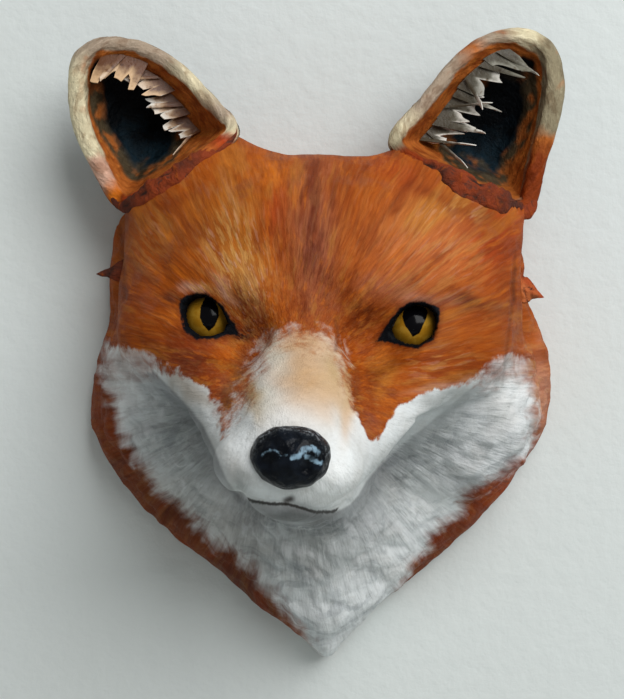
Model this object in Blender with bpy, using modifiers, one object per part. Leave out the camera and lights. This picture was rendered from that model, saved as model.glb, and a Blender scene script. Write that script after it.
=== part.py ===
"""A papier-mache fox head that hangs flat against a wall.

The wall is the plane Y = 0 and the fox looks along -Y. Metres, +Z up. The origin is the middle of the flat
back. Left and right are as the viewer sees them, so left is -X.

The free modelling is written as shares of the sculpture's own width, depth and height, each of which is one
millimetre at the real size. A point is (x, depth, z), where depth is the distance out from the wall. A point
in the face's own axes is (side, forward, up) from between the eyes, and the face is alike on both sides.
"""

import math

import bmesh
import bpy
import numpy as np

# Driving dimensions, in metres
FULL_WIDTH = 0.219
FULL_DEPTH = 0.174
FULL_HEIGHT = 0.281
EYE_RADIUS = 0.0112
LID_THICKNESS = 0.0022
EAR_WALL = 0.0055
STRIP_THICKNESS = 0.0009
GLUE_THICKNESS = 0.0006
CLEARANCE = 0.0004
NAIL_HOLE_RADIUS = 0.004
NAIL_HOLE_DEPTH = 0.014
NAIL_HOLE_HEIGHT = 0.045

# One share of the width, depth and height: a millimetre of the sculpture at its real size
SHARES = np.array([FULL_WIDTH / 219.0, FULL_DEPTH / 174.0, FULL_HEIGHT / 281.0])
MM = SHARES.min()

# The face turns a little to its right and tips over to one side
FACE_CENTRE = (-3.9, 84.0, 10.9)
FACE_TURN = math.radians(5.0)
FACE_TIP = math.radians(2.3)

# How broad a fillet joins two masses
BROAD = 16
SOFT = 9
TIGHT = 4

# Masses of the face: an ellipsoid's centre and radii, or a limb's ends, each with its radius
SKULL = ((0, -38, 12), (88, 50, 62))
TEMPLE = ((54, -44, 52), (34, 24, 33))
CHEEKBONE = ((50, -14, -8), (32, 21, 22))
BROW = ((21, 7, 13), 8, (50, -3, 21), 7)
INNER_EYE_HOLLOW = ((28, 16, -7), (12, 9, 9))
MUZZLE = ((0, 2, -25), 28, (0, 64, -48), 20)
WHISKER_PAD = ((13, 62, -53), (15, 20, 13))
CHEEK_LEDGE = ((17, 44, -49), 14, (50, -3, -16), 15)
CHEEK_RUFF = ((62, -56, -32), (36, 34, 42))
JAW = ((0, 50, -60), 13, (0, -20, -60), 28)
CHIN = ((0, 56, -66), (14, 14, 9))
EYE_CENTRE = (42.3, -7.0, 0.5)

# The opening between the lids, half its width and height, and how far its outer corner is raised
EYE_SLIT = (10.4, 9.0)
EYE_SLIT_SLANT = math.radians(24.0)
EYE_SLIT_REACH = 30.0

# The nose pad in the face's own axes, and its nostrils as side, up, radius and depth
NOSE_CENTRE = (1.6, 80.0, -49.3)
NOSE_RADII = (14.2, 10.5, 11.4)
NOSE_TAPER = 0.12
NOSTRIL = (6.4, -2.4, 2.6, 2.0)

# Ruff outline against the wall, clockwise from the crown, as (x, z)
RUFF_OUTLINE = (
    (0, 76), (40, 78), (76, 74), (93, 62), (94, 44), (96, 24), (101, 12), (106, 0), (107.5, -14),
    (105.5, -35), (94, -51), (84, -64), (70, -77), (49, -97), (26, -119), (13, -132), (4, -145),
    (-10, -130), (-26, -120), (-36, -111), (-48, -100), (-62, -90), (-80, -74), (-91, -61), (-100, -47),
    (-105, -33), (-105, -20), (-101, -2), (-96, 15), (-97, 32), (-95, 48), (-92, 61), (-74, 74),
    (-40, 80),
)
RUFF_EDGE_DEPTH = 17.0
RUFF_SWELL = 44.0
RUFF_SWELL_REACH = 32.0
RUFF_FRONT_EASE = 0.8
THROAT = ((0, 30, -62), 30, (2, 18, -104), 18)

# Crumpled paper points at the temples: foot above, foot below, tip and thickness, and how deep they root
LEFT_TEMPLE_POINT = ((-86, 40, 47), (-86, 42, 21), (-98.5, 44, 33), 8.0)
RIGHT_TEMPLE_POINT = ((87, 46, 45), (87, 48, 18), (100.5, 51, 24), 9.0)
TEMPLE_POINT_ROOT = 5.0

# Rims of the ears through the middle of their walls, from the outer foot over the tip
LEFT_EAR_RIM = (
    (-85.5, 40, 64.5), (-95.5, 37, 79.5), (-104, 36, 97), (-108, 36, 114), (-106, 36, 129),
    (-95, 37, 134.5), (-79, 38, 131), (-63, 40, 120), (-47, 43, 104), (-37.5, 47, 94),
    (-50, 55, 83), (-67, 56, 71),
)
RIGHT_EAR_RIM = (
    (91, 43, 62), (99, 41, 81), (104, 40, 100), (105.5, 38, 117), (101.5, 37, 131.5),
    (89.5, 37, 137), (75.5, 38, 134.5), (61, 40, 123), (46.5, 43, 105), (33, 47, 89),
    (48, 56, 77), (69, 58, 65.5),
)
EAR_FLOOR_DEPTH = 15.0
EAR_SIDE_STEEPNESS = 2.9
EAR_TIP_STEEPNESS = 1.6
EAR_VIEW_REACH = 45.0

# Torn strips: the stretch of the rim that they hang from, as shares of its length, and where they point
LEFT_FRINGE = (0.39, 0.70, (-0.74, 0.14, -0.66))
RIGHT_FRINGE = (0.40, 0.70, (0.88, 0.14, -0.46))
STRIPS = 13
STRIP_LENGTH = 17.0
STRIP_UNEVENNESS = 0.28
STRIP_SWAY = 1.5
STRIP_TIP_SHARE = 0.52

# Fineness of the faceted solids
HEAD_RINGS = 90
HEAD_SPOKES = 120
HEAD_KEPT_SHARE = 0.17
EAR_ROWS = 7
EAR_SHARES = np.linspace(0.12, 1.0, EAR_ROWS)
EAR_SPOKES = 34
NOSE_ROWS = 12
NOSE_SPOKES = 24
EYE_SPOKES = 20
EYE_ROWS = 12
EYE_SLIT_SPOKES = 28

# The curved spine that the head is measured from, and how it eases towards the wall
SPINE_FRONT = (-9.0, 128.0, -42.0)
SPINE_BACK = (0.0, 0.0, -15.0)
SPINE_EASE = 2.2
RAY_REACH = 190.0
RAY_STEPS = 96
RAY_HALVINGS = 14

# Colours of the real surfaces, and how rough each is
ORANGE_PAINT = ((0.55, 0.17, 0.04), 0.5)
EAR_PAINT = ((0.50, 0.36, 0.22), 0.6)
TORN_PAPER = ((0.70, 0.60, 0.48), 0.55)
AMBER_GLASS = ((0.55, 0.30, 0.02), 0.06)
BLACK_VARNISH = ((0.012, 0.013, 0.018), 0.15)


def ellipsoid(p, centre, radii):
    """Signed distance, close to the surface, of points p to an ellipsoid."""
    radii = np.asarray(radii, float)
    q = p - np.asarray(centre, float)
    near = np.linalg.norm(q / radii, axis=-1)
    slope = np.linalg.norm(q / radii**2, axis=-1)
    return near * (near - 1.0) / np.maximum(slope, 1e-9)


def limb(p, start, start_radius, end, end_radius):
    """Signed distance of points p to a round bar that tapers from start to end."""
    a = np.asarray(start, float)
    along = np.asarray(end, float) - a
    share = np.clip((p - a) @ along / (along @ along), 0.0, 1.0)
    away = np.linalg.norm(p - a - share[..., None] * along, axis=-1)
    return away - (start_radius + (end_radius - start_radius) * share)


def melt(a, b, blend):
    """Two masses pressed together, with a fillet of about this size."""
    share = np.clip(0.5 + 0.5 * (b - a) / blend, 0.0, 1.0)
    return b + (a - b) * share - blend * share * (1.0 - share)


def hollow(a, b, blend):
    """Mass a with b pressed into it, with a soft edge."""
    return -melt(-a, b, blend)


def face_axes():
    """Rows: the face's own side, forward and up directions as (x, depth, z)."""
    turned = np.array([
        [math.cos(FACE_TURN), math.sin(FACE_TURN), 0.0],
        [-math.sin(FACE_TURN), math.cos(FACE_TURN), 0.0],
        [0.0, 0.0, 1.0],
    ])
    tipped = np.array([
        [math.cos(FACE_TIP), 0.0, -math.sin(FACE_TIP)],
        [0.0, 1.0, 0.0],
        [math.sin(FACE_TIP), 0.0, math.cos(FACE_TIP)],
    ])
    return tipped @ turned


def to_face(p):
    return (p - np.asarray(FACE_CENTRE)) @ face_axes().T


def from_face(q):
    return np.asarray(q, float) @ face_axes() + np.asarray(FACE_CENTRE)


def eye_place(side):
    return from_face((side * EYE_CENTRE[0], EYE_CENTRE[1], EYE_CENTRE[2]))


def face_form(p):
    """The skull, brows, cheeks and muzzle, with round lids to cut the eyes from."""
    q = to_face(p)
    q = np.stack([np.abs(q[..., 0]), q[..., 1], q[..., 2]], axis=-1)
    form = melt(ellipsoid(q, *SKULL), ellipsoid(q, *TEMPLE), BROAD)
    form = melt(form, ellipsoid(q, *CHEEKBONE), BROAD)
    form = melt(form, ellipsoid(q, *CHEEK_RUFF), BROAD)
    form = melt(form, limb(q, *BROW), SOFT)
    muzzle = melt(limb(q, *MUZZLE), ellipsoid(q, *WHISKER_PAD), TIGHT)
    form = melt(form, muzzle, BROAD)
    form = melt(form, limb(q, *CHEEK_LEDGE), SOFT)
    form = melt(form, melt(limb(q, *JAW), ellipsoid(q, *CHIN), TIGHT), SOFT)
    form = hollow(form, ellipsoid(q, *INNER_EYE_HOLLOW), SOFT)
    for side in (-1, 1):
        away = np.linalg.norm((p - eye_place(side)) * SHARES, axis=-1)
        form = melt(form, (away - EYE_RADIUS - LID_THICKNESS) / MM, TIGHT)
    return form


def outline_distance(p, outline):
    """Signed distance, in the wall's plane, of points p to a closed outline: below zero inside it."""
    ends = np.asarray(outline, float)
    x, z = p[..., 0], p[..., 2]
    nearest = np.full(x.shape, np.inf)
    inside = np.zeros(x.shape, bool)
    for (ax, az), (bx, bz) in zip(ends, np.roll(ends, -1, axis=0)):
        dx, dz = bx - ax, bz - az
        share = np.clip(((x - ax) * dx + (z - az) * dz) / (dx * dx + dz * dz), 0.0, 1.0)
        nearest = np.minimum(nearest, np.hypot(x - ax - share * dx, z - az - share * dz))
        if az != bz:
            crosses = (az > z) != (bz > z)
            inside ^= crosses & (x < ax + (z - az) * dx / dz)
    return np.where(inside, -nearest, nearest)


def ruff_form(p):
    """The neck ruff: the outline at the wall, swelling forward towards the throat."""
    edge = outline_distance(p, RUFF_OUTLINE)
    swell = 1.0 - np.exp(np.minimum(edge, 0.0) / RUFF_SWELL_REACH)
    front = p[..., 1] - (RUFF_EDGE_DEPTH + RUFF_SWELL * swell)
    mane = -melt(-edge, -RUFF_FRONT_EASE * front, SOFT)
    return melt(mane, limb(p, *THROAT), BROAD)


def head_form(p):
    return melt(face_form(p), ruff_form(p), SOFT)


def cast_rays(form, origins, directions):
    """The point where each ray first leaves the form."""
    step = RAY_REACH / RAY_STEPS
    far = np.full(origins.shape[:-1], RAY_REACH)
    found = np.zeros(far.shape, bool)
    for i in range(1, RAY_STEPS + 1):
        outside = form(origins + directions * (i * step)) > 0.0
        far = np.where(outside & ~found, i * step, far)
        found |= outside
    near = far - step
    for _ in range(RAY_HALVINGS):
        middle = 0.5 * (near + far)
        outside = form(origins + directions * middle[..., None]) > 0.0
        far = np.where(outside, middle, far)
        near = np.where(outside, near, middle)
    return origins + directions * (0.5 * (near + far))[..., None]


def head_rings(rings, spokes):
    """Rings round the head from the nose to the wall, evenly spaced along each spoke."""
    t = np.linspace(0.0, 1.0, 2 * rings)[:, None]
    angle = np.linspace(0.0, 2 * math.pi, spokes, endpoint=False)[None, :]
    tilt = 0.5 * math.pi * t
    side, forward, up = np.sin(tilt) * np.cos(angle), np.cos(tilt) + 0.0 * angle, np.sin(tilt) * np.sin(angle)
    directions = np.stack([side, forward, up], axis=-1)
    front, back = np.asarray(SPINE_FRONT), np.asarray(SPINE_BACK)
    spine = back + (front - back) * ((1.0 - t) ** SPINE_EASE)
    origins = np.broadcast_to(spine[:, None, :], directions.shape)
    surface = cast_rays(head_form, origins, directions)
    travelled = np.zeros(surface.shape[:2])
    travelled[1:] = np.cumsum(np.linalg.norm(np.diff(surface, axis=0), axis=-1), axis=0)
    evened = np.empty((rings, spokes, 3))
    for j in range(spokes):
        wanted = np.linspace(0.0, travelled[-1, j], rings)
        for axis in range(3):
            evened[:, j, axis] = np.interp(wanted, travelled[:, j], surface[:, j, axis])
    evened[-1, :, 1] = 0.0
    return evened


def to_object(name, bm):
    """A bmesh as a new object."""
    bmesh.ops.recalc_face_normals(bm, faces=bm.faces)
    mesh = bpy.data.meshes.new(name)
    bm.to_mesh(mesh)
    bm.free()
    return bpy.data.objects.new(name, mesh)


def in_metres(point):
    """The real place of a point given in shares."""
    x, depth, z = point * SHARES
    return (x, -depth, z)


def place(bm, point):
    """A vertex at a point given in shares."""
    return bm.verts.new(in_metres(point))


def loft(name, rings, first_tip=None, last_tip=None):
    """A closed mesh through unlike rings of points. Each end comes to its tip, or else is flat."""
    bm = bmesh.new()
    rows = [[place(bm, point) for point in ring] for ring in rings]
    count = len(rows[0])
    for lower, upper in zip(rows, rows[1:]):
        for j in range(count):
            k = (j + 1) % count
            bm.faces.new((lower[j], lower[k], upper[k], upper[j]))
    for row, tip in ((rows[0], first_tip), (rows[-1], last_tip)):
        if tip is None:
            bm.faces.new(row)
            continue
        vertex = place(bm, tip)
        for j in range(count):
            bm.faces.new((row[j], row[(j + 1) % count], vertex))
    return to_object(name, bm)


def middle_of(ring):
    return np.mean(ring, axis=0)


def smooth_loop(knots, count):
    """Points evenly spread along a smooth closed curve through the given ones."""
    knots = np.asarray(knots, float)[:, None]
    before, after, beyond = (np.roll(knots, shift, axis=0) for shift in (1, -1, -2))
    t = np.linspace(0.0, 1.0, count, endpoint=False)[None, :, None]
    curve = 0.5 * (
        2 * knots + (after - before) * t
        + (2 * before - 5 * knots + 4 * after - beyond) * t**2
        + (3 * knots - before - 3 * after + beyond) * t**3
    ).reshape(-1, 3)
    closed = np.vstack([curve, curve[:1]])
    along = np.concatenate([[0.0], np.cumsum(np.linalg.norm(np.diff(closed, axis=0), axis=1))])
    wanted = np.linspace(0.0, along[-1], count, endpoint=False)
    return np.stack([np.interp(wanted, along, closed[:, axis]) for axis in range(3)], axis=-1)


def ear_bowl(rim, spokes, shares):
    """Rows of the ear's middle surface, at shares of the way from floor to rim, and their outward normals.

    The bowl is steep at the sides of the ear and runs up slowly towards the ear's tip.
    """
    edge = smooth_loop(rim, spokes)
    floor = middle_of(edge)
    floor[1] = EAR_FLOOR_DEPTH
    outward = (edge - floor) * (1.0, 0.0, 1.0)
    to_tip = outward[np.argmax(edge[:, 2])]
    towards_tip = outward @ to_tip / np.linalg.norm(outward, axis=1) / np.linalg.norm(to_tip)
    lean = np.clip(towards_tip, 0.0, 1.0) ** 2
    steepness = EAR_SIDE_STEEPNESS + (EAR_TIP_STEEPNESS - EAR_SIDE_STEEPNESS) * lean
    share = np.asarray(shares)[:, None]
    rows = floor + (edge - floor)[None] * share[..., None]
    rows[..., 1] = floor[1] + (edge[:, 1] - floor[1])[None] * share ** steepness[None]
    along = np.gradient(rows, axis=0)
    around = np.roll(rows, -1, axis=1) - np.roll(rows, 1, axis=1)
    normals = np.cross(along, around)
    normals /= np.linalg.norm(normals, axis=-1, keepdims=True)
    if normals[0, :, 1].mean() > 0:
        normals = -normals
    return rows, normals



def make_ear(name, rim):
    """A cupped shell of even thickness with a rounded rim."""
    rows, normals = ear_bowl(rim, EAR_SPOKES, EAR_SHARES)
    half = 0.5 * EAR_WALL / MM
    upward = rows[-1] - rows[-2]
    upward /= np.linalg.norm(upward, axis=-1, keepdims=True)
    lip = [
        rows[-1] + half * (math.sin(a) * upward - math.cos(a) * normals[-1])
        for a in np.linspace(0.0, math.pi, 6)[1:-1]
    ]
    inner = rows - half * normals
    outer = rows + half * normals
    return loft(name, [*inner, *lip, *outer[::-1]], middle_of(inner[0]), middle_of(outer[0]))


def make_ear_socket(name, rim):
    """The room that an ear and the view into it take from the head."""
    rows, normals = ear_bowl(rim, EAR_SPOKES, EAR_SHARES)
    outer = rows + (0.5 * EAR_WALL + CLEARANCE) / MM * normals
    ahead = outer[-1] + (0.0, EAR_VIEW_REACH, 0.0)
    return loft(name, [*outer, ahead], middle_of(outer[0]))


def along_row(row, columns):
    """Points between the ones of a row, at places counted in columns."""
    return np.stack([np.interp(columns, np.arange(len(row)), row[:, axis]) for axis in range(3)], axis=-1)


def make_fringe(name, rim, stretch):
    """Torn paper strips on one band, which lies just inside the ear's edge."""
    start, end, lean = stretch
    rows, normals = ear_bowl(rim, EAR_SPOKES, EAR_SHARES)
    glued = rows - (0.5 * (EAR_WALL + STRIP_THICKNESS) + GLUE_THICKNESS) / MM * normals
    columns = np.linspace(start, end, STRIPS + 1) * EAR_SPOKES
    roots, tops = (along_row(row, columns) for row in (glued[-2], 0.5 * (glued[-2] + glued[-1])))
    bm = bmesh.new()
    lower = [place(bm, point) for point in roots]
    upper = [place(bm, point) for point in tops]
    for i in range(STRIPS):
        bm.faces.new((upper[i], upper[i + 1], lower[i + 1], lower[i]))
        reach = STRIP_LENGTH * (1.0 - STRIP_UNEVENNESS * (1.0 - math.sin(2.3 * i + 0.6)))
        sway = np.array([0.0, STRIP_SWAY * math.sin(1.7 * i), 0.0])
        tip = 0.5 * (roots[i] + roots[i + 1]) + np.asarray(lean) * reach + sway
        half_tip = 0.5 * STRIP_TIP_SHARE * (roots[i + 1] - roots[i])
        bm.faces.new((lower[i], lower[i + 1], place(bm, tip + half_tip), place(bm, tip - half_tip)))
    fringe = to_object(name, bm)
    sheet = fringe.modifiers.new("sheet", "SOLIDIFY")
    sheet.thickness = STRIP_THICKNESS
    sheet.offset = 0.0
    return fringe


def nose_point(unit, grown):
    """A point of the nose pad in a direction from its middle, or of a plain pad grown by some shares."""
    side, forward, up = unit * (np.asarray(NOSE_RADII) + grown)
    side *= 1.0 + NOSE_TAPER * unit[2]
    if not grown:
        nostril_side, nostril_up, nostril_radius, nostril_depth = NOSTRIL
        away = math.hypot(abs(side) - nostril_side, up - nostril_up) / nostril_radius
        forward -= nostril_depth * math.exp(-away**2) * max(unit[1], 0.0)
    return from_face(np.array([side, forward, up]) + NOSE_CENTRE)


def make_nose(name, grown=0.0):
    """The nose pad: an oval that narrows downwards, with two shallow nostrils."""
    rings = []
    for tilt in np.linspace(0.0, math.pi, NOSE_ROWS + 1)[1:-1]:
        angles = np.linspace(0.0, 2 * math.pi, NOSE_SPOKES, endpoint=False)
        units = [
            np.array([math.sin(tilt) * math.cos(a), math.cos(tilt), math.sin(tilt) * math.sin(a)])
            for a in angles
        ]
        rings.append([nose_point(unit, grown) for unit in units])
    return loft(name, rings, middle_of(rings[0]), middle_of(rings[-1]))


def make_ball(name, side, radius):
    """The glass eye on one side of the face, or a larger ball round it."""
    bm = bmesh.new()
    bmesh.ops.create_uvsphere(bm, u_segments=EYE_SPOKES, v_segments=EYE_ROWS, radius=radius)
    ball = to_object(name, bm)
    ball.location = in_metres(eye_place(side))
    ball.rotation_euler = (0.5 * math.pi, 0.0, 0.0)
    return ball


def make_eye_slit(name, side):
    """The opening between the lids, lower at its inner corner, as a cutter that points forwards."""
    half_width, half_height = EYE_SLIT
    ring = []
    for angle in np.linspace(0.0, 2 * math.pi, EYE_SLIT_SPOKES, endpoint=False):
        along = half_width * math.cos(angle)
        across = half_height * math.sin(angle) * abs(math.sin(angle)) ** 0.25
        out = along * math.cos(EYE_SLIT_SLANT) - across * math.sin(EYE_SLIT_SLANT)
        up = along * math.sin(EYE_SLIT_SLANT) + across * math.cos(EYE_SLIT_SLANT)
        ring.append((side * (EYE_CENTRE[0] + out), EYE_CENTRE[2] + up))
    middle = EYE_CENTRE[1]
    ends = (middle, middle + EYE_SLIT_REACH)
    return loft(name, [[from_face((s, depth, u)) for s, u in ring] for depth in ends])


def make_temple_point(name, foot_above, foot_below, tip, thickness):
    """A pinched fold of paper that stands out from the side of the head."""
    above, below, tip = (np.asarray(point, float) for point in (foot_above, foot_below, tip))
    inward = np.array([-math.copysign(TEMPLE_POINT_ROOT, tip[0]), 0.0, 0.0])
    swell = np.array([0.0, 0.5 * thickness, 0.0])
    middle = 0.5 * (above + below)
    root = [point + inward for point in (above, middle + swell, below, middle - swell)]
    waist = [0.5 * (point + tip) for point in root]
    return loft(name, [root, waist], None, tip)


def make_nail_hole(name):
    """A blind hole in the back for the nail."""
    bm = bmesh.new()
    bmesh.ops.create_cone(
        bm, cap_ends=True, segments=20, radius1=NAIL_HOLE_RADIUS, radius2=NAIL_HOLE_RADIUS,
        depth=2 * NAIL_HOLE_DEPTH,
    )
    hole = to_object(name, bm)
    hole.location = (0.0, 0.0, NAIL_HOLE_HEIGHT)
    hole.rotation_euler = (0.5 * math.pi, 0.0, 0.0)
    return hole


def add_boolean(obj, cutter, operation):
    modifier = obj.modifiers.new(f"{operation.lower()} {cutter.name}", "BOOLEAN")
    modifier.operation = operation
    modifier.solver = "EXACT"
    modifier.object = cutter


def make_head(additions, cutters):
    """The face and ruff as one solid, with its sockets cut."""
    rings = head_rings(HEAD_RINGS, HEAD_SPOKES)
    head = loft("head", rings[1:], middle_of(rings[0]))
    fewer = head.modifiers.new("fewer faces", "DECIMATE")
    fewer.ratio = HEAD_KEPT_SHARE
    for addition in additions:
        add_boolean(head, addition, "UNION")
    for cutter in cutters:
        add_boolean(head, cutter, "DIFFERENCE")
    return head


def paint(obj, material_name, finish):
    """Gives an object its own material and smooth shading."""
    colour, roughness = finish
    material = bpy.data.materials.new(material_name)
    material.use_nodes = True
    shader = material.node_tree.nodes["Principled BSDF"]
    shader.inputs["Base Color"].default_value = (*colour, 1.0)
    shader.inputs["Roughness"].default_value = roughness
    shader.inputs["Metallic"].default_value = 0.0
    material.diffuse_color = (*colour, 1.0)
    obj.data.materials.append(material)
    obj.data.polygons.foreach_set("use_smooth", [True] * len(obj.data.polygons))


def make_collection(name, objects):
    made = bpy.data.collections.new(name)
    bpy.context.scene.collection.children.link(made)
    for obj in objects:
        made.objects.link(obj)
    return made


def main():
    for obj in list(bpy.data.objects):
        bpy.data.objects.remove(obj)

    pieces = []
    additions = [
        make_temple_point("temple_point_left", *LEFT_TEMPLE_POINT),
        make_temple_point("temple_point_right", *RIGHT_TEMPLE_POINT),
    ]
    cutters = [make_nose("nose_seat", CLEARANCE / MM), make_nail_hole("nail_hole")]
    sides = (("left", -1, LEFT_EAR_RIM, LEFT_FRINGE), ("right", 1, RIGHT_EAR_RIM, RIGHT_FRINGE))
    for name, side, rim, stretch in sides:
        cutters.append(make_eye_slit(f"eye_slit_{name}", side))
        cutters.append(make_ball(f"eye_socket_{name}", side, EYE_RADIUS + CLEARANCE))
        cutters.append(make_ear_socket(f"ear_socket_{name}", rim))
        eye = make_ball(f"eye_{name}", side, EYE_RADIUS)
        ear = make_ear(f"ear_{name}", rim)
        fringe = make_fringe(f"ear_fringe_{name}", rim, stretch)
        paint(eye, f"amber_glass_{name}", AMBER_GLASS)
        paint(ear, f"ear_paint_{name}", EAR_PAINT)
        paint(fringe, f"torn_paper_{name}", TORN_PAPER)
        pieces += [eye, ear, fringe]
    head = make_head(additions, cutters)
    nose = make_nose("nose")
    paint(head, "orange_paint", ORANGE_PAINT)
    paint(nose, "black_varnish", BLACK_VARNISH)

    make_collection("fox_head", [head, nose, *pieces])
    for helper in make_collection("cutters", additions + cutters).objects:
        helper.hide_render = True
        helper.display_type = "WIRE"


main()
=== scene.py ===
"""A painted papier-mache fox head on a wall: its modelled paper, paint, glass eyes and torn paper fringes.

A point is (x, depth, z) in millimetres, where depth is the distance out from the wall. A point in the face's
own axes is (side, forward, up) from between the eyes. Paint is laid by where a spot appears to a viewer in
front, in pixels across and down the picture. Left and right are as the viewer sees them.
"""

import math
import bpy
import numpy as np
from bpy.props import FloatProperty, FloatVectorProperty, PointerProperty
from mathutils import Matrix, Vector, noise


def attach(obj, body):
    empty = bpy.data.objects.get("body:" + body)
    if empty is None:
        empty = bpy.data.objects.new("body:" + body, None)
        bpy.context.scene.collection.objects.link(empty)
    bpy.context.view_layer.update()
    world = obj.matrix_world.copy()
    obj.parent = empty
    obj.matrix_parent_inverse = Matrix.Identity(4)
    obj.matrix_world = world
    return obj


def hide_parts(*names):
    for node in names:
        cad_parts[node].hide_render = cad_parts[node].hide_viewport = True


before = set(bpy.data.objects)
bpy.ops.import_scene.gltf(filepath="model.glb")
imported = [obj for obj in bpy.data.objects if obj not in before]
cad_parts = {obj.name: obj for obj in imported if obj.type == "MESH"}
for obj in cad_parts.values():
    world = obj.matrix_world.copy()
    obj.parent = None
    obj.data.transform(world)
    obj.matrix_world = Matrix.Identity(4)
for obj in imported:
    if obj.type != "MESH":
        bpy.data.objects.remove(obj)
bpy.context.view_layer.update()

bl_info = {
    "name": "Painted Fox Head",
    "version": (1, 0, 0),
    "blender": (4, 5, 0),
    "location": "View3D > Sidebar > Fox Head",
    "description": "Builds a painted paper fox head piece by piece on its solid frame",
    "category": "Object",
}

MM = 0.001

# The picture's view: where the eye stands, how strongly it enlarges, and the middle of the picture
VIEW_DISTANCE = 700.0
VIEW_SIDE = -3.0
VIEW_SCALE = 1500.0
PICTURE_WIDTH = 624
PICTURE_HEIGHT = 699
SENSOR_WIDTH = 36.0

# The wall and floor, and a window to the upper right, in metres
WALL_PLACE = (0.0, 0.0015, 0.0)
FLOOR_PLACE = (0.0, -1.5, -1.1)
PLANE_SIZE = 4.0
LAMP_PLACE = (0.78, -1.38, 1.0)
LAMP_TARGET = (0.0, -0.05, 0.0)
LAMP_SIZE = 1.35
LAMP_COLOUR = (0.99, 0.99, 0.98)
SKY_COLOUR = (1.0, 0.98, 0.95, 1.0)

# The face turns a little to its right and tips over to one side
FACE_CENTRE = (-3.9, 84.0, 10.9)
FACE_TURN = math.radians(5.0)
FACE_TIP = math.radians(2.3)

# How broad a fillet joins two masses
BROAD = 16
SOFT = 9
TIGHT = 4
LID_EDGE = 0.8

# Masses of the face: an ellipsoid's centre and radii, or a limb's ends, each with its radius
SKULL = ((0, -38, 12), (88, 50, 62))
TEMPLE = ((54, -44, 52), (34, 24, 33))
CHEEKBONE = ((50, -14, -8), (32, 21, 22))
BROW = ((21, 7, 13), 8, (50, -3, 21), 7)
INNER_EYE_HOLLOW = ((28, 16, -7), (12, 9, 9))
MUZZLE = ((0, 2, -25), 28, (0, 64, -48), 20)
WHISKER_PAD = ((13, 62, -53), (15, 20, 13))
CHEEK_LEDGE = ((17, 44, -49), 14, (50, -3, -16), 15)
CHEEK_RUFF = ((62, -56, -32), (36, 34, 42))
JAW = ((0, 50, -60), 13, (0, -20, -60), 28)
CHIN = ((0, 56, -66), (14, 14, 9))

# The eyes. Outlines are (outward, up) from the eye's middle: the opening, its black rim and each pupil
EYE_CENTRE = (42.3, -7.0, 0.5)
EYE_RADIUS = 11.2
LID_THICKNESS = 2.2
EYE_OPENING = (
    (9.2, 5.2), (6.0, 8.2), (0.5, 8.9), (-4.0, 6.5), (-7.4, 2.2), (-9.2, -2.2), (-7.4, -5.6),
    (-2.4, -7.8), (3.0, -8.1), (8.0, -4.4), (9.8, 0.6),
)
EYE_RIM = (
    (11.2, 7.2), (7.4, 8.9), (3.4, 9.8), (-0.5, 9.5), (-5.0, 7.0), (-9.2, 2.2), (-12.0, -2.4),
    (-14.4, -7.0), (-9.4, -7.0), (-3.4, -8.9), (2.8, -9.1), (8.2, -5.6), (10.1, -0.2),
)
LEFT_PUPIL = (
    (1.3, 8.8), (2.8, 4.2), (2.8, -0.2), (1.3, -3.2), (-1.1, -5.6), (-3.6, -3.2), (-5.0, 0.8),
    (-4.6, 4.2), (-3.1, 7.1), (-1.6, 8.8),
)
RIGHT_PUPIL = (
    (-4.0, 5.9), (-4.4, 3.4), (-2.7, -0.7), (0.1, -4.8), (2.6, -3.1), (4.6, 1.0), (5.7, 3.9),
    (5.6, 6.3), (4.2, 8.0), (0.5, 8.6), (-1.9, 7.9),
)

# The nose pad in the face's own axes, and its nostrils as side, up, radius and depth
NOSE_CENTRE = (2.3, 80.0, -49.3)
NOSE_RADII = (14.6, 10.5, 11.6)
NOSE_TAPER = 0.05
NOSTRIL = (6.4, -2.4, 2.6, 2.0)

# Painted highlights on the nose, standing in for reflections in its varnish: strokes of blue grey given as
# points across and down the picture, and half width, in pixels
NOSE_PAINTED_HIGHLIGHTS = (
    (((262, 455), (266, 452), (272, 450), (277, 451), (281, 456), (287, 455)), 0.3),
    (((293, 458), (300, 455), (304, 449), (313, 448), (318, 453)), 2.4),
    (((306, 456), (313, 459), (320, 463)), 2.0),
)

# Ruff outline against the wall, clockwise from the crown, as (x, z)
RUFF_OUTLINE = (
    (0, 76), (40, 78), (76, 74), (93, 62), (94, 44), (96, 24), (101, 12), (106, 0), (107.5, -14),
    (105.5, -35), (95, -51), (86, -65), (73.5, -78.5), (51.5, -98.5), (26, -119), (13, -132), (4, -145),
    (-10, -130), (-26, -120), (-36, -111), (-48, -100), (-62, -90), (-80, -74), (-91, -61), (-100, -47),
    (-105, -33), (-105, -20), (-101, -2), (-96, 15), (-97, 32), (-95, 48), (-92, 61), (-74, 74),
    (-40, 80),
)
RUFF_EDGE_DEPTH = 17.0
RUFF_SWELL = 44.0
RUFF_SWELL_REACH = 32.0
RUFF_FRONT_EASE = 0.8
THROAT = ((0, 30, -62), 30, (2, 18, -104), 18)

# Crumpled paper points at the temples: foot above, foot below, tip and thickness
LEFT_TEMPLE_POINT = ((-88, 40, 42), (-87, 42, 27), (-97.5, 44, 33), 5.0)
RIGHT_TEMPLE_POINT = ((87, 46, 42), (85, 49, 18), (97.5, 51, 22.5), 7.0)

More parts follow.
